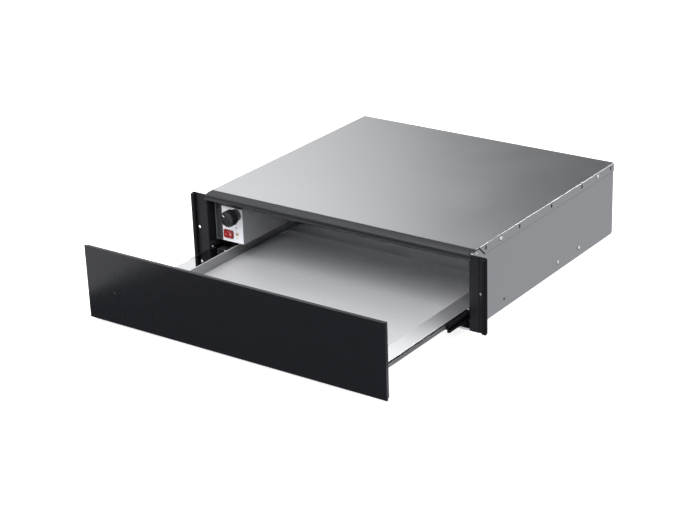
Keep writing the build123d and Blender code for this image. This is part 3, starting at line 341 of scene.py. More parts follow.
finish("white_label", (0.86, 0.855, 0.89), (0.91, 0.905, 0.94), (0.35, 0.42), scale=1500.0, relief=0.03,
       dust=0.0)
finish("pale_mark", (0.62, 0.3, 0.29), (0.7, 0.38, 0.37), (0.3, 0.4), scale=1500.0, relief=0.03,
       dust=0.0)
finish("mark_grey", (0.08, 0.11, 0.11), (0.12, 0.15, 0.15), (0.4, 0.5), scale=1500.0, relief=0.03,
       dust=0.0)
print("finishes with the plastics:", len(FINISHES))

# %% [markdown]
# ### Glass and lenses
# The front is glass with a black coat behind it, so it is smooth but gives back little. The lenses let a
# part of the light through.

# %% Glass and lenses
finish("black_glass", (0.0075, 0.008, 0.0105), (0.0095, 0.0102, 0.013), (0.2, 0.24), scale=300.0,
       relief=0.01, dust=0.03, plain={"Specular IOR Level": 0.22})
finish("lamp_lens", (0.72, 0.6, 0.42), (0.8, 0.7, 0.55), (0.1, 0.18), scale=800.0, relief=0.02,
       dust=0.0, plain={"Transmission Weight": 0.25})
finish("amber_lens", (0.3, 0.16, 0.08), (0.42, 0.24, 0.13), (0.12, 0.2), scale=800.0, relief=0.02,
       dust=0.0, plain={"Transmission Weight": 0.2})
finish("clear_plastic", (0.05, 0.05, 0.055), (0.07, 0.07, 0.075), (0.1, 0.16), scale=800.0, relief=0.02,
       dust=0.0, plain={"Transmission Weight": 0.2})
print("finishes with the glasses:", len(FINISHES))

# %% [markdown]
# ## The CAD nodes take their finish
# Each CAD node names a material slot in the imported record. Its Blender material is looked up under the
# same name, so nothing is matched by hand.

# %% Give the nodes their finish
slot_of = {part["node"]: part["material_slot"] for part in frame["record"]["subparts"]}
bodies = frame["record"]["behaviour"]["bodies"]
body_of = {node: body for body, nodes in bodies.items() for node in nodes}
for node, thing in frame["nodes"].items():
    for place in thing.material_slots:
        place.material = FINISHES[slot_of[node]]
print("nodes with a finish", len(slot_of))

# %% [markdown]
# ## Bent and eased edges
# Real sheet is bent over a small radius and its cut edges are eased, and both catch a line of light. The
# CAD sheets are plain, with sharp edges. A copy of each is merged, its flat faces are joined, and its
# edges are bevelled: the bends by a wide bevel, all the others by a narrow one.

# %% Functions for rounded copies
TOUCHING = 0.000004                   # points this close, in metres, are one
FLAT = radians(0.5)                   # faces that turn less than this are joined
SHARP = radians(35)                   # edges that turn more than this are eased
STRAIGHT = 0.99                       # least cosine between an edge and the axis that it runs along


def merged_copy(node):
    """A bmesh of a CAD node: doubles merged, flat faces joined."""
    shape = bmesh.new()
    shape.from_mesh(frame["nodes"][node].data)
    bmesh.ops.remove_doubles(shape, verts=shape.verts, dist=TOUCHING)
    bmesh.ops.dissolve_limit(shape, angle_limit=FLAT, verts=shape.verts, edges=shape.edges)
    return shape


def sharp_edges(shape, least=SHARP):
    """The edges where two faces meet at an angle."""
    return [e for e in shape.edges if len(e.link_faces) == 2 and e.calc_face_angle(0.0) > least]


def runs_along(edge, axis):
    """True for an edge that runs along axis 0, 1 or 2."""
    way = (edge.verts[1].co - edge.verts[0].co).normalized()
    return abs(way[axis]) > STRAIGHT


def bevel(shape, edges, width, segments):
    """Rounds some edges. The width is in mm."""
    bmesh.ops.bevel(shape, geom=edges, offset=width * MM, offset_type="OFFSET", segments=segments,
                    profile=0.5, affect="EDGES", material=-1, clamp_overlap=True)


print("tools for rounded copies are ready")

# %% [markdown]
# ### From a bmesh to a piece
# A piece is an object with a mesh, a finish, and the body that it moves with. Its faces are shaded smooth
# up to the sharp edges, and weighted normals keep the broad flat faces flat beside the narrow bevels.

# %% Functions for pieces
SMOOTH_UNDER = radians(40)            # a wider angle between two faces stays a sharp edge
BEND_STEPS, EASE_STEPS = 4, 2         # segments of a wide bend and of an eased edge


def to_piece(shape, name, body, slot, *nodes, look=None):
    """Turns a bmesh into a piece that rides on a body, has a finish and may stand for CAD nodes."""
    mesh = bpy.data.meshes.new(name)
    shape.to_mesh(mesh)
    shape.free()
    for face in mesh.polygons:
        face.use_smooth = True
    mesh.set_sharp_from_angle(angle=SMOOTH_UNDER)
    piece = bpy.data.objects.new(name, mesh)
    bpy.context.scene.collection.objects.link(piece)
    mesh.materials.append(FINISHES[look or slot])
    even = piece.modifiers.new("even", "WEIGHTED_NORMAL")
    even.keep_sharp = True
    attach(piece, body)
    if nodes:
        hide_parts(*nodes)


def eased(node, edge, *bends, look=None):
    """A copy of a CAD node with eased edges. A bend is a function that picks edges, and a radius in mm."""
    shape = merged_copy(node)
    for pick, radius in bends:
        picked = [e for e in sharp_edges(shape) if pick((e.verts[0].co + e.verts[1].co) / (2 * MM), e)]
        bevel(shape, picked, radius, BEND_STEPS)
    bevel(shape, sharp_edges(shape), edge, EASE_STEPS)
    to_piece(shape, node + "_eased", body_of[node], slot_of[node], node, look=look)


print("tools for pieces are ready")

# %% [markdown]
# ### Thin bars and pairs
# Strips, seams and plates are blocks between two corners. The object is the same at both sides, so most
# small pieces are made once and mirrored. A mirror turns faces inside out, so they are turned back.

# %% Functions for bars
def bar(x0, x1, y0, y1, z0, z1, edge=0.0):
    """A block between two corners in mm, with its edges eased."""
    shape = bmesh.new()
    bmesh.ops.create_cube(shape, size=MM)
    bmesh.ops.scale(shape, vec=(x1 - x0, y1 - y0, z1 - z0), verts=shape.verts)
    bmesh.ops.translate(shape, vec=Vector((x0 + x1, y0 + y1, z0 + z1)) * (MM / 2), verts=shape.verts)
    if edge:
        bevel(shape, shape.edges[:], edge, EASE_STEPS)
    return shape


def poured(shapes):
    """One shape from several."""
    whole = bmesh.new()
    for shape in shapes:
        mesh = bpy.data.meshes.new("portion")
        shape.to_mesh(mesh)
        shape.free()
        whole.from_mesh(mesh)
        bpy.data.meshes.remove(mesh)
    return whole


def both_sides(shape):
    """A shape and its mirror image across the middle."""
    twin = shape.copy()
    bmesh.ops.scale(twin, vec=(-1, 1, 1), verts=twin.verts)
    bmesh.ops.reverse_faces(twin, faces=twin.faces)
    return poured([shape, twin])


print("bars and pairs are ready")

# %% [markdown]
# ### The housing
# The top cover is folded down over the side sheets and at the back. Those folds get a wide bend, which
# gives the long bright line along the edge of the top. The other sheets show only their cut edges.

# %% Steel top and sides
LIP_X, TOP_Z, BACK_Y = 270.0, 136.0, 472.0     # outer face of the folded lips, top and back, in mm
NEAR = 0.1                                     # an edge this close to a face, in mm, lies on it


def top_bends(middle, edge):
    """The folds of the cover, along both sides and along the back."""
    side = abs(middle.x) > LIP_X - NEAR and runs_along(edge, 1)
    back = middle.y > BACK_Y - NEAR and runs_along(edge, 0)
    return middle.z > TOP_Z - NEAR and (side or back)


eased("top_cover", 0.12, (top_bends, 1.1))
for node in ("side_panel_left", "side_panel_right", "rear_panel"):
    eased(node, 0.12)
eased("base_pan", 0.15)
print("steel sheets eased")

# %% [markdown]
# ### The black front frame
# A rounded rail runs under the steel top, and a painted trim with a rubber seal stands at each side. The
# trims have round outer corners and a soft inner bend. The seals are rounded at their ends.

# %% Rail, trims and seals
TRIM_X, TRIM_INNER_X, TRIM_FRONT_Y = 300.0, 267.5, -18.0    # outer edge, limit of the inner bend, front
SEAL_LOW_Z, SEAL_HIGH_Z = 1.3, 130.9                        # the ends of the seals lie beyond these


def trim_bends(middle, edge):
    """The upright inner edge at the front of a trim."""
    return abs(middle.x) < TRIM_INNER_X and middle.y < TRIM_FRONT_Y + NEAR and runs_along(edge, 2)


def trim_corners(middle, edge):
    """The outer corners of a trim."""
    return abs(middle.x) > TRIM_X - NEAR and runs_along(edge, 1)


def seal_ends(middle, edge):
    """The level edges at both ends of a seal."""
    return (middle.z < SEAL_LOW_Z or middle.z > SEAL_HIGH_Z) and runs_along(edge, 0)


eased("top_rail", 0.25)
for side in ("left", "right"):
    eased("side_trim_" + side, 0.2, (trim_corners, 3.0), (trim_bends, 0.8), look="trim_paint")
    eased("trim_seal_" + side, 0.6, (seal_ends, 2.8))
print("front frame eased")

# %% [markdown]
# ### The drawer
# The drawer has a glass front on a carrier, and a steel tray. Its sides end in a broad rim that is folded
# down again. That lower fold is a little shorter here than in the CAD, so that the gap under it stays open
# and dark. Both rims are one steel: the right rim gets a light satin as a painted sheen. The left one
# mirrors the housing in a darker grey as painted shade, so it has a thin darker mirror strip as painted
# shade and a thin light strip along the bend into the wall as a painted highlight.

# %% Drawer
for node in ("front_glass", "front_carrier", "tray_front_wall", "tray_floor"):
    eased(node, 0.2)
eased("tray_back", 0.2, look="polished_steel")
print("drawer eased")

# %% Rims
WALL_X, RIM_X, RIM_Z = 228.0, 259.3, 36.0      # inner face of the drawer sides, rim's edge and top, in mm
RIM_FRONT_Y, RIM_BACK_Y = -289.4, 154.0
FOLD_X, FOLD_Z, FOLD_LIFT = 257.5, 34.0, 1.2   # the lower fold lies beyond and below these


def rimmed_side(node, look):
    """A drawer side with a shorter lower fold on its rim."""
    shape = merged_copy(node)
    fold = [v for v in shape.verts if abs(v.co.x) > FOLD_X * MM and v.co.z < FOLD_Z * MM]
    bmesh.ops.translate(shape, vec=(0, 0, FOLD_LIFT * MM), verts=fold)
    bevel(shape, sharp_edges(shape), 0.15, EASE_STEPS)
    to_piece(shape, node + "_eased", "drawer", slot_of[node], node, look=look)


# The left side takes the darker grey rim as painted shade, the right the light satin as a painted sheen.
rimmed_side("drawer_side_left", "shade_grey_rim")
rimmed_side("drawer_side_right", "sheen_satin_rim")
# The strip lies a hair above the rim as a darker mirror, painted shade, and the light bend that wraps its
# inner edge is a painted highlight.
strip = bar(-RIM_X, -WALL_X - 1.0, RIM_FRONT_Y, RIM_BACK_Y, RIM_Z - 0.02, RIM_Z + 0.04)
to_piece(strip, "left_rim_shade_strip", "drawer", "polished_steel", look="shade_mirror_rim")
bend = bar(-WALL_X - 1.1, -WALL_X + 0.06, RIM_FRONT_Y, RIM_BACK_Y, RIM_Z - 0.8, RIM_Z + 0.08, 0.35)
to_piece(bend, "left_rim_bend_highlight", "drawer", "polished_steel", look="highlight_bend_edge")
for side in ("left", "right"):
    eased("front_bracket_" + side, 0.2)
print("rim is", RIM_X - WALL_X, "mm wide")

# %% [markdown]
# ### The slides
# A slide has a fixed member on the housing, an inner one on the drawer and a middle one between them. The
# middle one ends in front in a rod with a round tip. It is black paint, given the darker, duller rubber
# finish, which adds painted shade. The fixed members get a darker zinc as painted shade, and the groove
# along the outer face of each rim gets a thin dark strip of painted shade.

# %% Slides
ROD_TIP_Y, ROD_TOP_Z = -76.4, 23.3                          # the tip lies before and below these
RIM_GROOVE = (258.8, 260.04, -289.3, 150.0, 33.35, 35.75)   # X, Y and Z from and to, in mm


def rod_tips(middle, edge):
    """The edges at the front end of the rod."""
    return middle.y < ROD_TIP_Y and middle.z < ROD_TOP_Z


# The rubber finish on the middle members and the dark zinc on the fixed ones are painted shade.
for side in ("left", "right"):
    eased("slide_middle_" + side, 0.25, (rod_tips, 1.3), look="black_seal")
    eased("slide_clip_" + side, 0.4)
    eased("slide_inner_" + side, 0.3)
    eased("slide_fixed_" + side, 0.25, look="dark_zinc")
# A thin black strip in each rim's groove is painted shade.
to_piece(both_sides(bar(*RIM_GROOVE)), "rim_groove_shade", "drawer", "zinc", look="black_seal")
print("slides eased")

# %% [markdown]
# ### The control box and the parts behind it
# The box is a folded steel cover with a white label and a rocker switch. What lies deeper in the housing
# is hardly seen, so an eased edge is all that it needs.

# %% Control box and inner parts
eased("control_box", 0.15, look="box_steel")
eased("control_label", 0.15)
eased("switch_body", 0.45)
eased("switch_rocker", 0.5)
for node in ("terminal_block", "thermal_cutout", "fan_impeller", "fan_motor", "fan_shroud", "latch_body",
             "latch_striker", "thermostat_body"):
    eased(node, 0.3)
for node in ("rear_baffle", "ceiling_liner"):
    eased(node, 0.12)
print("control box and inner parts eased")

# %% [markdown]
# ## Slots and seams of the top
# The folded lips have a row of slots, and their slanted front ends leave a seam. Both look black, because
# no light gets between the two sheets, and that shade is painted: thin black sheets on the side panel show
# through them as painted shade, a hair of black stands round each slot as its painted shaded edge, and a
# thin black bar lies along each seam as painted shade. A thin grey line under each lip is painted shadow.

# %% Slots, seams and lip shades
SIDE_X = 269.2                                 # outer face of the side sheets, in mm
LIP_Z = 129.0                                  # height of the slots and screws in the lips
SLOT_YS = (29, 136.5, 244, 351.5, 459)
SEAM_WIDTH, SEAM_THICK = 1.7, 0.83
UNDER_LIP = (28, 471, 118.2, 119.45)           # Y and Z from and to


def behind_slot(y, face, thick, half_width, half_height):
    """A thin sheet of painted shade on a face, behind or round one slot."""
    return bar(face, face + thick, y - half_width, y + half_width, LIP_Z - half_height, LIP_Z + half_height)


def seam(start, end):
    """A thin bar of painted shade along a seam of the right-hand side sheet, between two points given as
    (Y, Z).
    """
    start, end = Vector(start), Vector(end)
    half = (end - start).length / 2
    shape = bar(SIDE_X, SIDE_X + SEAM_THICK, -half, half, -SEAM_WIDTH / 2, SEAM_WIDTH / 2)
    slant = Matrix.Rotation(-Vector((1, 0)).angle_signed(end - start), 3, "X")
    bmesh.ops.rotate(shape, cent=(0, 0, 0), matrix=slant, verts=shape.verts)
    middle = (start + end) / 2
    bmesh.ops.translate(shape, vec=(0, middle.x * MM, middle.y * MM), verts=shape.verts)
    return shape


# Black sheets behind and round the slots and along the seams are painted shade.
slot_shades = [behind_slot(y, SIDE_X, 0.08, 1.5, 3.0) for y in SLOT_YS]
slot_shades += [behind_slot(y, LIP_X, 0.03, 2.1, 3.4) for y in SLOT_YS]
slot_shades += [seam((8.45, 135.3), (26.1, 119.1)), seam((-10.5, 134.5), (8.0, 134.5))]
to_piece(both_sides(poured(slot_shades)), "slot_shade", "housing", "black_seal")
# The grey strip under each lip is painted shadow.
shade = bar(SIDE_X, SIDE_X + 0.05, *UNDER_LIP)
to_piece(both_sides(shade), "lip_shades", "housing", "zinc")
print("slots on each side", len(SLOT_YS))

# %% [markdown]
# ## Small turned parts
# Screws, rivets, the lamp and the dial's skirt are turned parts. Half of the outline is drawn once and spun
# round an axis, which gives a clean dome that catches a highlight as real heads do.

# %% Functions for turned parts
RIGHT, FORWARD, UP = (1, 0, 0), (0, -1, 0), (0, 0, 1)
DISC_THICK = 0.05


def turned(profile, steps=32):
    """A shape spun from its half outline, given as (radius, height) in mm."""
    shape = bmesh.new()
    points = [shape.verts.new((radius * MM, 0, height * MM)) for radius, height in profile]
    lines = [shape.edges.new(pair) for pair in zip(points, points[1:])]
    bmesh.ops.spin(shape, geom=points + lines, cent=(0, 0, 0), axis=(0, 0, 1), dvec=(0, 0, 0),
                   angle=2 * pi, steps=steps, use_merge=True)
    bmesh.ops.remove_doubles(shape, verts=shape.verts, dist=TOUCHING)
    bmesh.ops.recalc_face_normals(shape, faces=shape.faces)
    return shape


def turn_to(shape, way, place):
    """Turns a shape's +Z to a direction and moves it to a place in mm."""
    aim = Vector(way).to_track_quat("Z", "Y").to_matrix()
    bmesh.ops.rotate(shape, cent=(0, 0, 0), matrix=aim, verts=shape.verts)
    bmesh.ops.translate(shape, vec=Vector(place) * MM, verts=shape.verts)
    return shape


def disc(radius, way, place, steps=32):
    """A thin disc that faces a direction."""
    profile = [(0, 0), (radius, 0), (radius, DISC_THICK), (0, DISC_THICK)]
    return turn_to(turned(profile, steps), way, place)


print("turning tools are ready")

# %% [markdown]
# ### Screws with a cross recess
# The cross is cut out of the domed head with a Boolean modifier. It is cut once for each length of screw,
# and the finished mesh is copied to every place, so the modifier doesn't stay on the pieces.

# %% Functions for screws
HEAD = [(3.4, 0), (3.4, 0.5), (3.15, 1.05), (2.5, 1.5), (1.4, 1.74), (0, 1.8)]
SHANK = 1.5
CROSS_REACH, CROSS_HALF, CROSS_FLOOR, CROSS_TOP = 2.0, 0.42, 0.75, 3.0


def cross_screw(length):
    """The mesh of a domed screw with a cross recess, its head's underside at the origin."""
    blank = turned([(0, -length), (SHANK, -length), (SHANK, 0)] + HEAD)
    arms = [(CROSS_REACH, CROSS_HALF), (CROSS_HALF, CROSS_REACH)]
    cross = poured([bar(-x, x, -y, y, CROSS_FLOOR, CROSS_TOP) for x, y in arms])
    things = []
    for name, shape in (("blank", blank), ("cross", cross)):
        mesh = bpy.data.meshes.new(name)
        shape.to_mesh(mesh)
        shape.free()
        things.append(bpy.data.objects.new(name, mesh))
        bpy.context.scene.collection.objects.link(things[-1])
    cut = things[0].modifiers.new("recess", "BOOLEAN")
    cut.object, cut.operation, cut.solver, cut.use_self = things[1], "DIFFERENCE", "EXACT", True
    ready = things[0].evaluated_get(bpy.context.evaluated_depsgraph_get())
    made = bpy.data.meshes.new_from_object(ready)
    for thing in things:
        bpy.data.objects.remove(thing)
    return made


def set_screws(node, mesh, places, look=None):
    """Copies of one screw at all the places of a node, each with its direction."""
    shapes = []
    for place, way in places:
        shape = bmesh.new()
        shape.from_mesh(mesh)
        shapes.append(turn_to(shape, way, place))
    to_piece(poured(shapes), node + "_cut", body_of[node], slot_of[node], node, look=look)


LONG_SCREW, SHORT_SCREW = cross_screw(4.0), cross_screw(2.0)
print("faces of one screw", len(LONG_SCREW.polygons))

# %% [markdown]
# ### Screws in their places
# Two screws hold each lip of the cover and two more hold each slide. A dark ring of painted shade lies
# under every one of these heads, and a dark disc of painted shade closes the plain hole in front of the
# slide's screws. Two more on each rim hold the glass front, and two hold the control box.

# %% Screws of the housing
SIDES = (-1, 1)
COVER_SCREW_YS = (76, 409.5)
SLIDE_SCREW_YS, SIDE_HOLE_Y, LOW_Z = (269.5, 345), 87.5, 16.8
SHADE_RING, HOLE_SHADE = 4.5, 2.3                          # radii in mm

lip_places = [((s * LIP_X, y, LIP_Z), (s, 0, 0)) for s in SIDES for y in COVER_SCREW_YS]
# The lip and slide screws take the lighter screw copy as a painted highlight.
set_screws("cover_screws", LONG_SCREW, lip_places, look="highlight_screw")
low_places = [((s * SIDE_X, y, LOW_Z), (s, 0, 0)) for s in SIDES for y in SLIDE_SCREW_YS]
set_screws("slide_screws", SHORT_SCREW, low_places, look="highlight_screw")
# Dark rings under the heads and a dark disc in the plain hole are painted shade.
rings = [disc(SHADE_RING, RIGHT, (SIDE_X, y, LOW_Z)) for y in SLIDE_SCREW_YS]
rings += [disc(SHADE_RING, RIGHT, (LIP_X, y, LIP_Z)) for y in COVER_SCREW_YS]
rings += [disc(HOLE_SHADE, RIGHT, (SIDE_X, SIDE_HOLE_Y, LOW_Z))]
to_piece(both_sides(poured(rings)), "screw_shade_rings", "housing", "black_seal")
print("screws on the housing", len(lip_places) + len(low_places))

# %% Screws of the drawer and the control box
RIM_SCREW_X, RIM_SCREW_YS, RIM_SCREW_Z = 249, (-269.7, -252.1), 37.6
BOX_SCREWS = [((-256.2, 0, 106), FORWARD), ((-261, 21.7, 45.5), (0, 0, -1))]

rim_places = [((s * RIM_SCREW_X, y, RIM_SCREW_Z), UP) for s in SIDES for y in RIM_SCREW_YS]
set_screws("rim_screws", LONG_SCREW, rim_places)
set_screws("box_screws", LONG_SCREW, BOX_SCREWS, look="dark_zinc")
print("screws on the drawer and box", len(rim_places) + len(BOX_SCREWS))

# %% [markdown]
# ### Rivets
# A domed rivet holds each trim to the housing. Two small bright heads at the upper front corners and two
# on the clips of the slides need only their domes, so their outlines have no shank.

# %% Rivets
RIVET = [(0, -3), (1.5, -3), (1.5, 0), (2.2, 0), (2.15, 0.35), (1.8, 0.8), (1.1, 1.1), (0, 1.2)]
CORNER_DOME = [(0, 0), (2.0, 0), (2.0, 0.3), (1.6, 0.8), (0.9, 1.1), (0, 1.2)]
CLIP_DOME = [(0, 0), (1.9, 0), (1.9, 0.3), (1.6, 0.8), (1.0, 1.1), (0, 1.2)]

trim_rivets = [turn_to(turned(RIVET), (s, 0, 0), (s * SIDE_X, -10.8, 130.2)) for s in SIDES]
to_piece(poured(trim_rivets), "trim_rivets_domed", body_of["trim_rivets"], "screw_steel", "trim_rivets")
# The corner domes take the lighter screw copy too, a painted highlight.
corner = turn_to(turned(CORNER_DOME), RIGHT, (SIDE_X, 1.1, 128.9))
to_piece(both_sides(corner), "corner_spots", "housing", "screw_steel", look="highlight_screw")
clip = turn_to(turned(CLIP_DOME), UP, (263.4, -14.8, 36.5))
to_piece(both_sides(clip), "clip_rivets", "housing", "screw_steel")
print("rivets are set")

# %% [markdown]
# ### Bright balls in the cages
# A slide runs on two rows of steel balls, which a cage keeps apart. The CAD cage and its balls are one
# node with one finish, so bright balls are laid over them, a hair larger.

# %% Balls
BALLS_IN_ROW, BALL_RADIUS, BALL_INSET, CAGE_X = 9, 1.78, 1.75, 264.0


def lay_balls(name, side):
    """The steel balls of one slide, evenly along the upper and lower edge of its cage."""
    low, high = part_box("slide_cage_" + name)
    pitch = (high[1] - low[1]) / BALLS_IN_ROW
    rows = []
    for z in (low[2] + BALL_INSET * MM, high[2] - BALL_INSET * MM):
        for i in range(BALLS_IN_ROW):
            ball = bmesh.new()
            bmesh.ops.create_icosphere(ball, subdivisions=2, radius=BALL_RADIUS * MM)
            place = (side * CAGE_X * MM, low[1] + pitch * (i + 0.5), z)
            bmesh.ops.translate(ball, vec=place, verts=ball.verts)
            rows.append(ball)
    to_piece(poured(rows), name + "_cage_balls", name + "_cage", "screw_steel")
    print("pitch of the balls on the", name, "slide", round(pitch / MM, 2), "mm")


lay_balls("left", -1)
lay_balls("right", 1)

# %% [markdown]
# ## The dial
# The dial's grip has coarse ribs and a slightly sunk face with a pale pointer. The outline starts as a
# circle whose vertices are pulled in by turns, which makes the ribs, and it is then extruded, inset and
# eased. The skirt behind it is turned, and narrower.

# %% Dial
DIAL_AT = (-216.5, -14.0, 100.0)               # middle of the grip's back, in mm
RIBS, PER_RIB, VALLEY = 16, 4, 0.88            # ribs, points for each, and how far the valleys are in
RIB_SHARP = radians(25)                        # the ribs' edges turn less than those of a sheet
GRIP_RADIUS, GRIP_DEPTH = 14.5, 14.6
SKIRT = [(0, 0.2), (11.5, 0.2), (11.5, -1.2), (10.2, -2.0), (10.0, -9.6), (10.8, -10.4), (10.8, -11),
         (5.4, -11)]
POINTER = (-0.75, 0.75, 6.2, 11.6, 14.9, 15.5, 0.12)     # a bar on the grip's face
POINTER_TURN = radians(52)


def dial_grip():
    """The ribbed grip, its back at the origin and its face towards +Z."""
    shape = bmesh.new()
    bmesh.ops.create_circle(shape, cap_ends=True, segments=RIBS * PER_RIB, radius=GRIP_RADIUS * MM)
    valleys = [v for i, v in enumerate(shape.verts) if i % PER_RIB < PER_RIB / 2]
    bmesh.ops.scale(shape, vec=(VALLEY, VALLEY, 1), verts=valleys)
    raised = bmesh.ops.extrude_face_region(shape, geom=shape.faces[:])["geom"]
    top = [g for g in raised if isinstance(g, bmesh.types.BMVert)]
    bmesh.ops.translate(shape, vec=(0, 0, GRIP_DEPTH * MM), verts=top)
    cap = [g for g in raised if isinstance(g, bmesh.types.BMFace)]
    bmesh.ops.inset_region(shape, faces=cap, thickness=1.5 * MM, depth=1.4 * MM)
    bmesh.ops.inset_region(shape, faces=cap, thickness=1.2 * MM, depth=-0.7 * MM)
    bmesh.ops.recalc_face_normals(shape, faces=shape.faces)
    bevel(shape, sharp_edges(shape, RIB_SHARP), 0.22, EASE_STEPS)
    return shape


grip = turn_to(dial_grip(), FORWARD, DIAL_AT)
to_piece(grip, "dial_grip", "dial", "black_plastic", "thermostat_dial", look="dial_plastic")
skirt = turn_to(turned(SKIRT), FORWARD, DIAL_AT)
to_piece(skirt, "dial_skirt", "dial", "black_plastic", look="grey_plastic")
mark = bar(*POINTER)
bmesh.ops.rotate(mark, cent=(0, 0, 0), matrix=Matrix.Rotation(POINTER_TURN, 3, "Z"), verts=mark.verts)
to_piece(turn_to(mark, FORWARD, DIAL_AT), "dial_pointer", "dial", "white_label")
print("dial with", RIBS, "ribs is made")

# %% [markdown]
# ## Switch, lamp and the painted reflection beside the label
# The rocker carries the two usual marks, a stroke and a ring, one on each of its slopes. The lamp is an
# amber lens in a pale collar. A dark plate beside and above the label is a painted dark reflection of the
# bare steel there, a grey bar at its outer edge is a painted highlight, and the label has a few small dots.

# %% Rocker marks
SWITCH = Vector((-237.0, 1.0, 59.9))           # middle of the switch, in mm
ROCKER_TILT = Matrix.Rotation(radians(10), 3, "Z")
SLOPE, MARK_X, DIP_Y = 0.2, 4.4, -4.4          # slope of the rocker, place of a mark, depth of the middle


def rocker_mark(shape, side):
    """Sets a flat shape on one slope of the rocker: side is -1 on the left and 1 on the right."""
    turn_to(shape, (-side * SLOPE, -1, 0), (side * MARK_X, DIP_Y - MARK_X * SLOPE, 0))
    bmesh.ops.rotate(shape, cent=(0, 0, 0), matrix=ROCKER_TILT, verts=shape.verts)
    bmesh.ops.translate(shape, vec=SWITCH * MM, verts=shape.verts)
    return shape


stroke = rocker_mark(bar(-0.35, 0.35, -2.0, 2.0, -0.1, 0.08), -1)
ring = rocker_mark(turned([(1.4, -0.1), (1.9, -0.1), (1.9, 0.08), (1.4, 0.08), (1.4, -0.1)]), 1)
to_piece(poured([stroke, ring]), "rocker_marks", "rocker", "red_plastic", look="pale_mark")
print("rocker marks are set")

# %% Pilot lamp
LAMP_AT = (-217.9, -0.4, 62.6)                 # where the lamp leaves the label, in mm
LENS = [(0, -9), (2.6, -9), (2.6, 0.7), (2.1, 1.5), (1.3, 1.85), (0, 1.95)]
COLLAR = [(1.9, 0), (3.6, 0), (3.6, 0.6), (3.3, 1.2), (2.6, 1.6), (1.95, 1.65), (1.9, 0)]

lens = turn_to(turned(LENS), FORWARD, LAMP_AT)
to_piece(lens, "pilot_lens", "housing", "lamp_lens", "pilot_lamp", look="amber_lens")
collar = turn_to(turned(COLLAR), FORWARD, LAMP_AT)
to_piece(collar, "pilot_collar", "housing", "lamp_lens", look="cream_plastic")
print("pilot lamp is made")

# %% Painted dark reflection and highlight beside the label, and dots
REFLECTION_THICK, LABEL_Y = 0.25, -0.4
DARK_REFLECTION = [(-263.2, -250.4, 46.2, 135.0), (-250.4, -204.8, 110.9, 135.0)]   # X and Z from and to
EDGE_HIGHLIGHT = (-265.4, -263.2, -0.45, 0, 46.2, 118.0, 0.1)                 # a bar beside the plate
DOTS = [(-220.1, 81.5, 1.4), (-219.5, 74.2, 1.3), (-218.4, 55.0, 1.2)]    # X, Z and radius

# A dark plate as painted dark reflection of the bare steel, and a grey bar at its edge as painted
# highlight.
plate = poured([bar(x0, x1, -REFLECTION_THICK, 0, z0, z1) for x0, x1, z0, z1 in DARK_REFLECTION])
to_piece(plate, "box_dark_reflection", "housing", "black_paint", look="dark_reflection_paint")
to_piece(bar(*EDGE_HIGHLIGHT), "box_edge_highlight", "housing", "galvanised", look="edge_highlight_grey")
dots = poured([disc(radius, FORWARD, (x, LABEL_Y, z), 16) for x, z, radius in DOTS])
to_piece(dots, "label_dots", "housing", "white_label", look="mark_grey")
print("plate and", len(DOTS), "dots are set")

# %% [markdown]
# ## Floor, world and lamps
# The photograph has a white background. The floor and the world are white to the camera and to what
# mirrors or transmits them, by the Light Path node, while a softer light falls on the object. In the
# studio one half of the room was dark, which gives the steel top its long fade from left to right: the
# sky that the metal mirrors fades in the same way, across an upright plane.

# %% Rays that see the background
def seen_rays(tree):
    """1 for camera, mirror and glass rays, 0 for the rays that only light a surface."""
    link = tree.links.new
    rays = put(tree, "LightPath")
    seen = put(tree, "Math", operation="MAXIMUM")
    link(rays.outputs["Is Camera Ray"], seen.inputs[0])
    link(rays.outputs["Is Glossy Ray"], seen.inputs[1])
    through = put(tree, "Math", operation="MAXIMUM", use_clamp=True)
    link(seen.outputs[0], through.inputs[0])
    link(rays.outputs["Is Transmission Ray"], through.inputs[1])
    return through.outputs[0]


print("ray mask is ready")

# %% [markdown]
# ### The room that the metal mirrors
# Two masks along level directions make the dark walls, at the right and the front. They end below the
# ceiling, which is bright all over. Near the floor everything is dimmer, because the upright sheets
# mirror that part, and in the photograph they are darker than the top.

# %% World
FADE_AZIMUTH = radians(-33.8)     # middle of the fade, from straight back towards the left
FADE_HALF = 0.07                  # half the fade's width, as a sine
WHITE_SIDE = 1.86                 # strength of the bright wall at the left and of the ceiling
DARK_SIDE = 0.02                  # strength of the dark walls at the right and the front
LOW_TONE = 0.12                   # share of that strength that is left near the floor

world = bpy.data.worlds.new("studio")
bpy.context.scene.world = world
world.use_nodes = True
sky = world.node_tree
sky.nodes.clear()
join = sky.links.new
sky_way = put(sky, "TexCoord")


def past(direction, start, end):
    """0 to 1 as the view turns from a start to an end along a direction, each given as a sine."""
    along = put(sky, "VectorMath", {1: direction}, operation="DOT_PRODUCT")
    join(sky_way.outputs["Generated"], along.inputs[0])
    step = put(sky, "MapRange", {"From Min": start, "From Max": end}, interpolation_type="SMOOTHSTEP")
    join(along.outputs["Value"], step.inputs["Value"])
    return step.outputs["Result"]


def joined(operation, first, second):
    """A Math node between two outputs."""
    node = put(sky, "Math", operation=operation)
    join(first, node.inputs[0])
    join(second, node.inputs[1])
    return node.outputs[0]


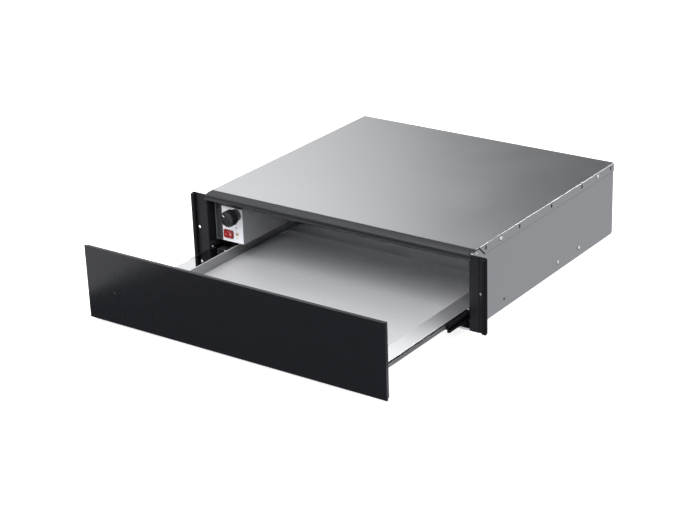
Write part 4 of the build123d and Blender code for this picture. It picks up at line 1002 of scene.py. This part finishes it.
right_wall = past((cos(FADE_AZIMUTH), -sin(FADE_AZIMUTH), 0), -FADE_HALF, FADE_HALF)
front_wall = past((0, -1, 0), 0.1, 0.5)
below_ceiling = past((0, 0, -1), -0.82, -0.64)
above_floor = past((0, 0, 1), 0.23, 0.42)
darkness = joined("MULTIPLY", joined("MAXIMUM", right_wall, front_wall), below_ceiling)
tone = put(sky, "MapRange", {"To Min": WHITE_SIDE, "To Max": DARK_SIDE})
join(darkness, tone.inputs["Value"])
haze = put(sky, "MapRange", {"To Min": LOW_TONE, "To Max": 1.0})
join(above_floor, haze.inputs["Value"])
mirrored = joined("MULTIPLY", tone.outputs["Result"], haze.outputs["Result"])
print("nodes in the mirrored room", len(sky.nodes))

# %% [markdown]
# ### White to the camera, soft to the object
# The camera sees a plain white of strength 1, mirrors see the room, and the object is lit by a third,
# slightly blue and softer sky.

# %% World's output
white_sky = put(sky, "Background", {"Color": (1.0, 1.0, 1.0, 1.0)})
light_sky = put(sky, "Background", {"Color": (0.93, 0.95, 1.0, 1.0), "Strength": 0.5})
strength = put(sky, "Mix", {"B": 1.0}, data_type="FLOAT")
join(put(sky, "LightPath").outputs["Is Camera Ray"], strength.inputs["Factor"])
join(mirrored, strength.inputs["A"])
join(strength.outputs["Result"], white_sky.inputs["Strength"])
choice = put(sky, "MixShader")
join(seen_rays(sky), choice.inputs["Fac"])
join(light_sky.outputs[0], choice.inputs[1])
join(white_sky.outputs[0], choice.inputs[2])
join(choice.outputs[0], put(sky, "OutputWorld").inputs["Surface"])
print("nodes in the world", len(sky.nodes))

# %% [markdown]
# ### The floor
# The floor is a pale matt sheet just below the object. It glows a little to the rays that see it, so that
# it comes out white in the picture, and it still takes the object's soft shadow.

# %% Floor
FLOOR_Z, FLOOR_HALF = -0.0005, 12              # in metres


def flat_sheet(name, x0, x1, y0, y1, z):
    """A level rectangle for the stage, in metres."""
    shape = bmesh.new()
    bmesh.ops.create_grid(shape, x_segments=1, y_segments=1, size=0.5)
    bmesh.ops.scale(shape, vec=(x1 - x0, y1 - y0, 1), verts=shape.verts)
    bmesh.ops.translate(shape, vec=((x0 + x1) / 2, (y0 + y1) / 2, z), verts=shape.verts)
    mesh = bpy.data.meshes.new(name)
    shape.to_mesh(mesh)
    shape.free()
    thing = bpy.data.objects.new(name, mesh)
    bpy.context.scene.collection.objects.link(thing)
    return thing


floor = flat_sheet("floor", -FLOOR_HALF, FLOOR_HALF, -FLOOR_HALF, FLOOR_HALF, FLOOR_Z)
pale = bpy.data.materials.new("pale_floor")
pale.use_nodes = True
ground = pale.node_tree.nodes["Principled BSDF"]
for socket, value in (("Base Color", (0.8, 0.8, 0.8, 1.0)), ("Roughness", 0.9), ("Specular IOR Level", 0.1),
                      ("Emission Color", (1.0, 1.0, 1.0, 1.0))):
    ground.inputs[socket].default_value = value
glow = put(pale.node_tree, "Math", {1: 0.7}, operation="MULTIPLY")
pale.node_tree.links.new(seen_rays(pale.node_tree), glow.inputs[0])
pale.node_tree.links.new(glow.outputs[0], ground.inputs["Emission Strength"])
floor.data.materials.append(pale)
print("floor is", 2 * FLOOR_HALF, "m wide")

# %% [markdown]
# ### Dark cards
# A shiny object is shaped in the studio by dark cards beside it, outside the picture, which only its
# reflections show. One lies to the right and tones down the steel side. One lies before the drawer, so
# that the glass front stays black.

# %% Cards
CARD_Z = 0.0002                                # just above the floor, in metres
COOL = 1.03                                    # a card gives back a little more blue than red


def card(name, x0, x1, y0, y1, shade):
    """A card on the floor that only mirror rays see."""
    thing = flat_sheet(name, x0, x1, y0, y1, CARD_Z)
    for rays in ("camera", "diffuse", "transmission", "shadow", "volume_scatter"):
        setattr(thing, "visible_" + rays, False)
    material = bpy.data.materials.new(name)
    material.use_nodes = True
    tree = material.node_tree
    tree.nodes.clear()
    dim = put(tree, "Emission", {"Color": (shade, shade, shade * COOL, 1.0)})
    tree.links.new(dim.outputs[0], put(tree, "OutputMaterial").inputs["Surface"])
    thing.data.materials.append(material)


card("right_card", 0.2695, 3.0, -0.2, 3.0, 0.5)
card("front_card", -0.37, 2.0, -2.0, -0.305, 0.14)
print("cards are laid")

# %% [markdown]
# ### Lamps
# Four soft lamps stand round the object: a key lamp at the left, a broad one above and in front, a weak
# low one for the glass front, and one behind at the right that lights the edges there.

# %% Lamps
def softbox(name, place, target, size, power):
    """A rectangular lamp that looks at a target, in metres and watts."""
    lamp = bpy.data.lights.new(name, "AREA")
    lamp.shape = "RECTANGLE"
    lamp.size, lamp.size_y = size
    lamp.energy = power
    thing = bpy.data.objects.new(name, lamp)
    bpy.context.scene.collection.objects.link(thing)
    thing.location = place
    aim = Vector(target) - Vector(place)
    thing.rotation_euler = aim.to_track_quat("-Z", "Y").to_euler()


softbox("key_lamp", (-2.0, -1.5, 2.7), (0, 0, 0.1), (2.0, 2.0), 45)
softbox("top_lamp", (0.3, -1.8, 2.7), (0, -0.1, 0.1), (2.4, 2.4), 75)
softbox("front_lamp", (0.6, -3.0, 1.9), (0, -0.1, 0.05), (1.2, 1.2), 16)
softbox("edge_lamp", (1.5, 2.45, 1.7), (0.27, 0.2, 0.13), (1.4, 0.5), 30)
print("lamps are set")
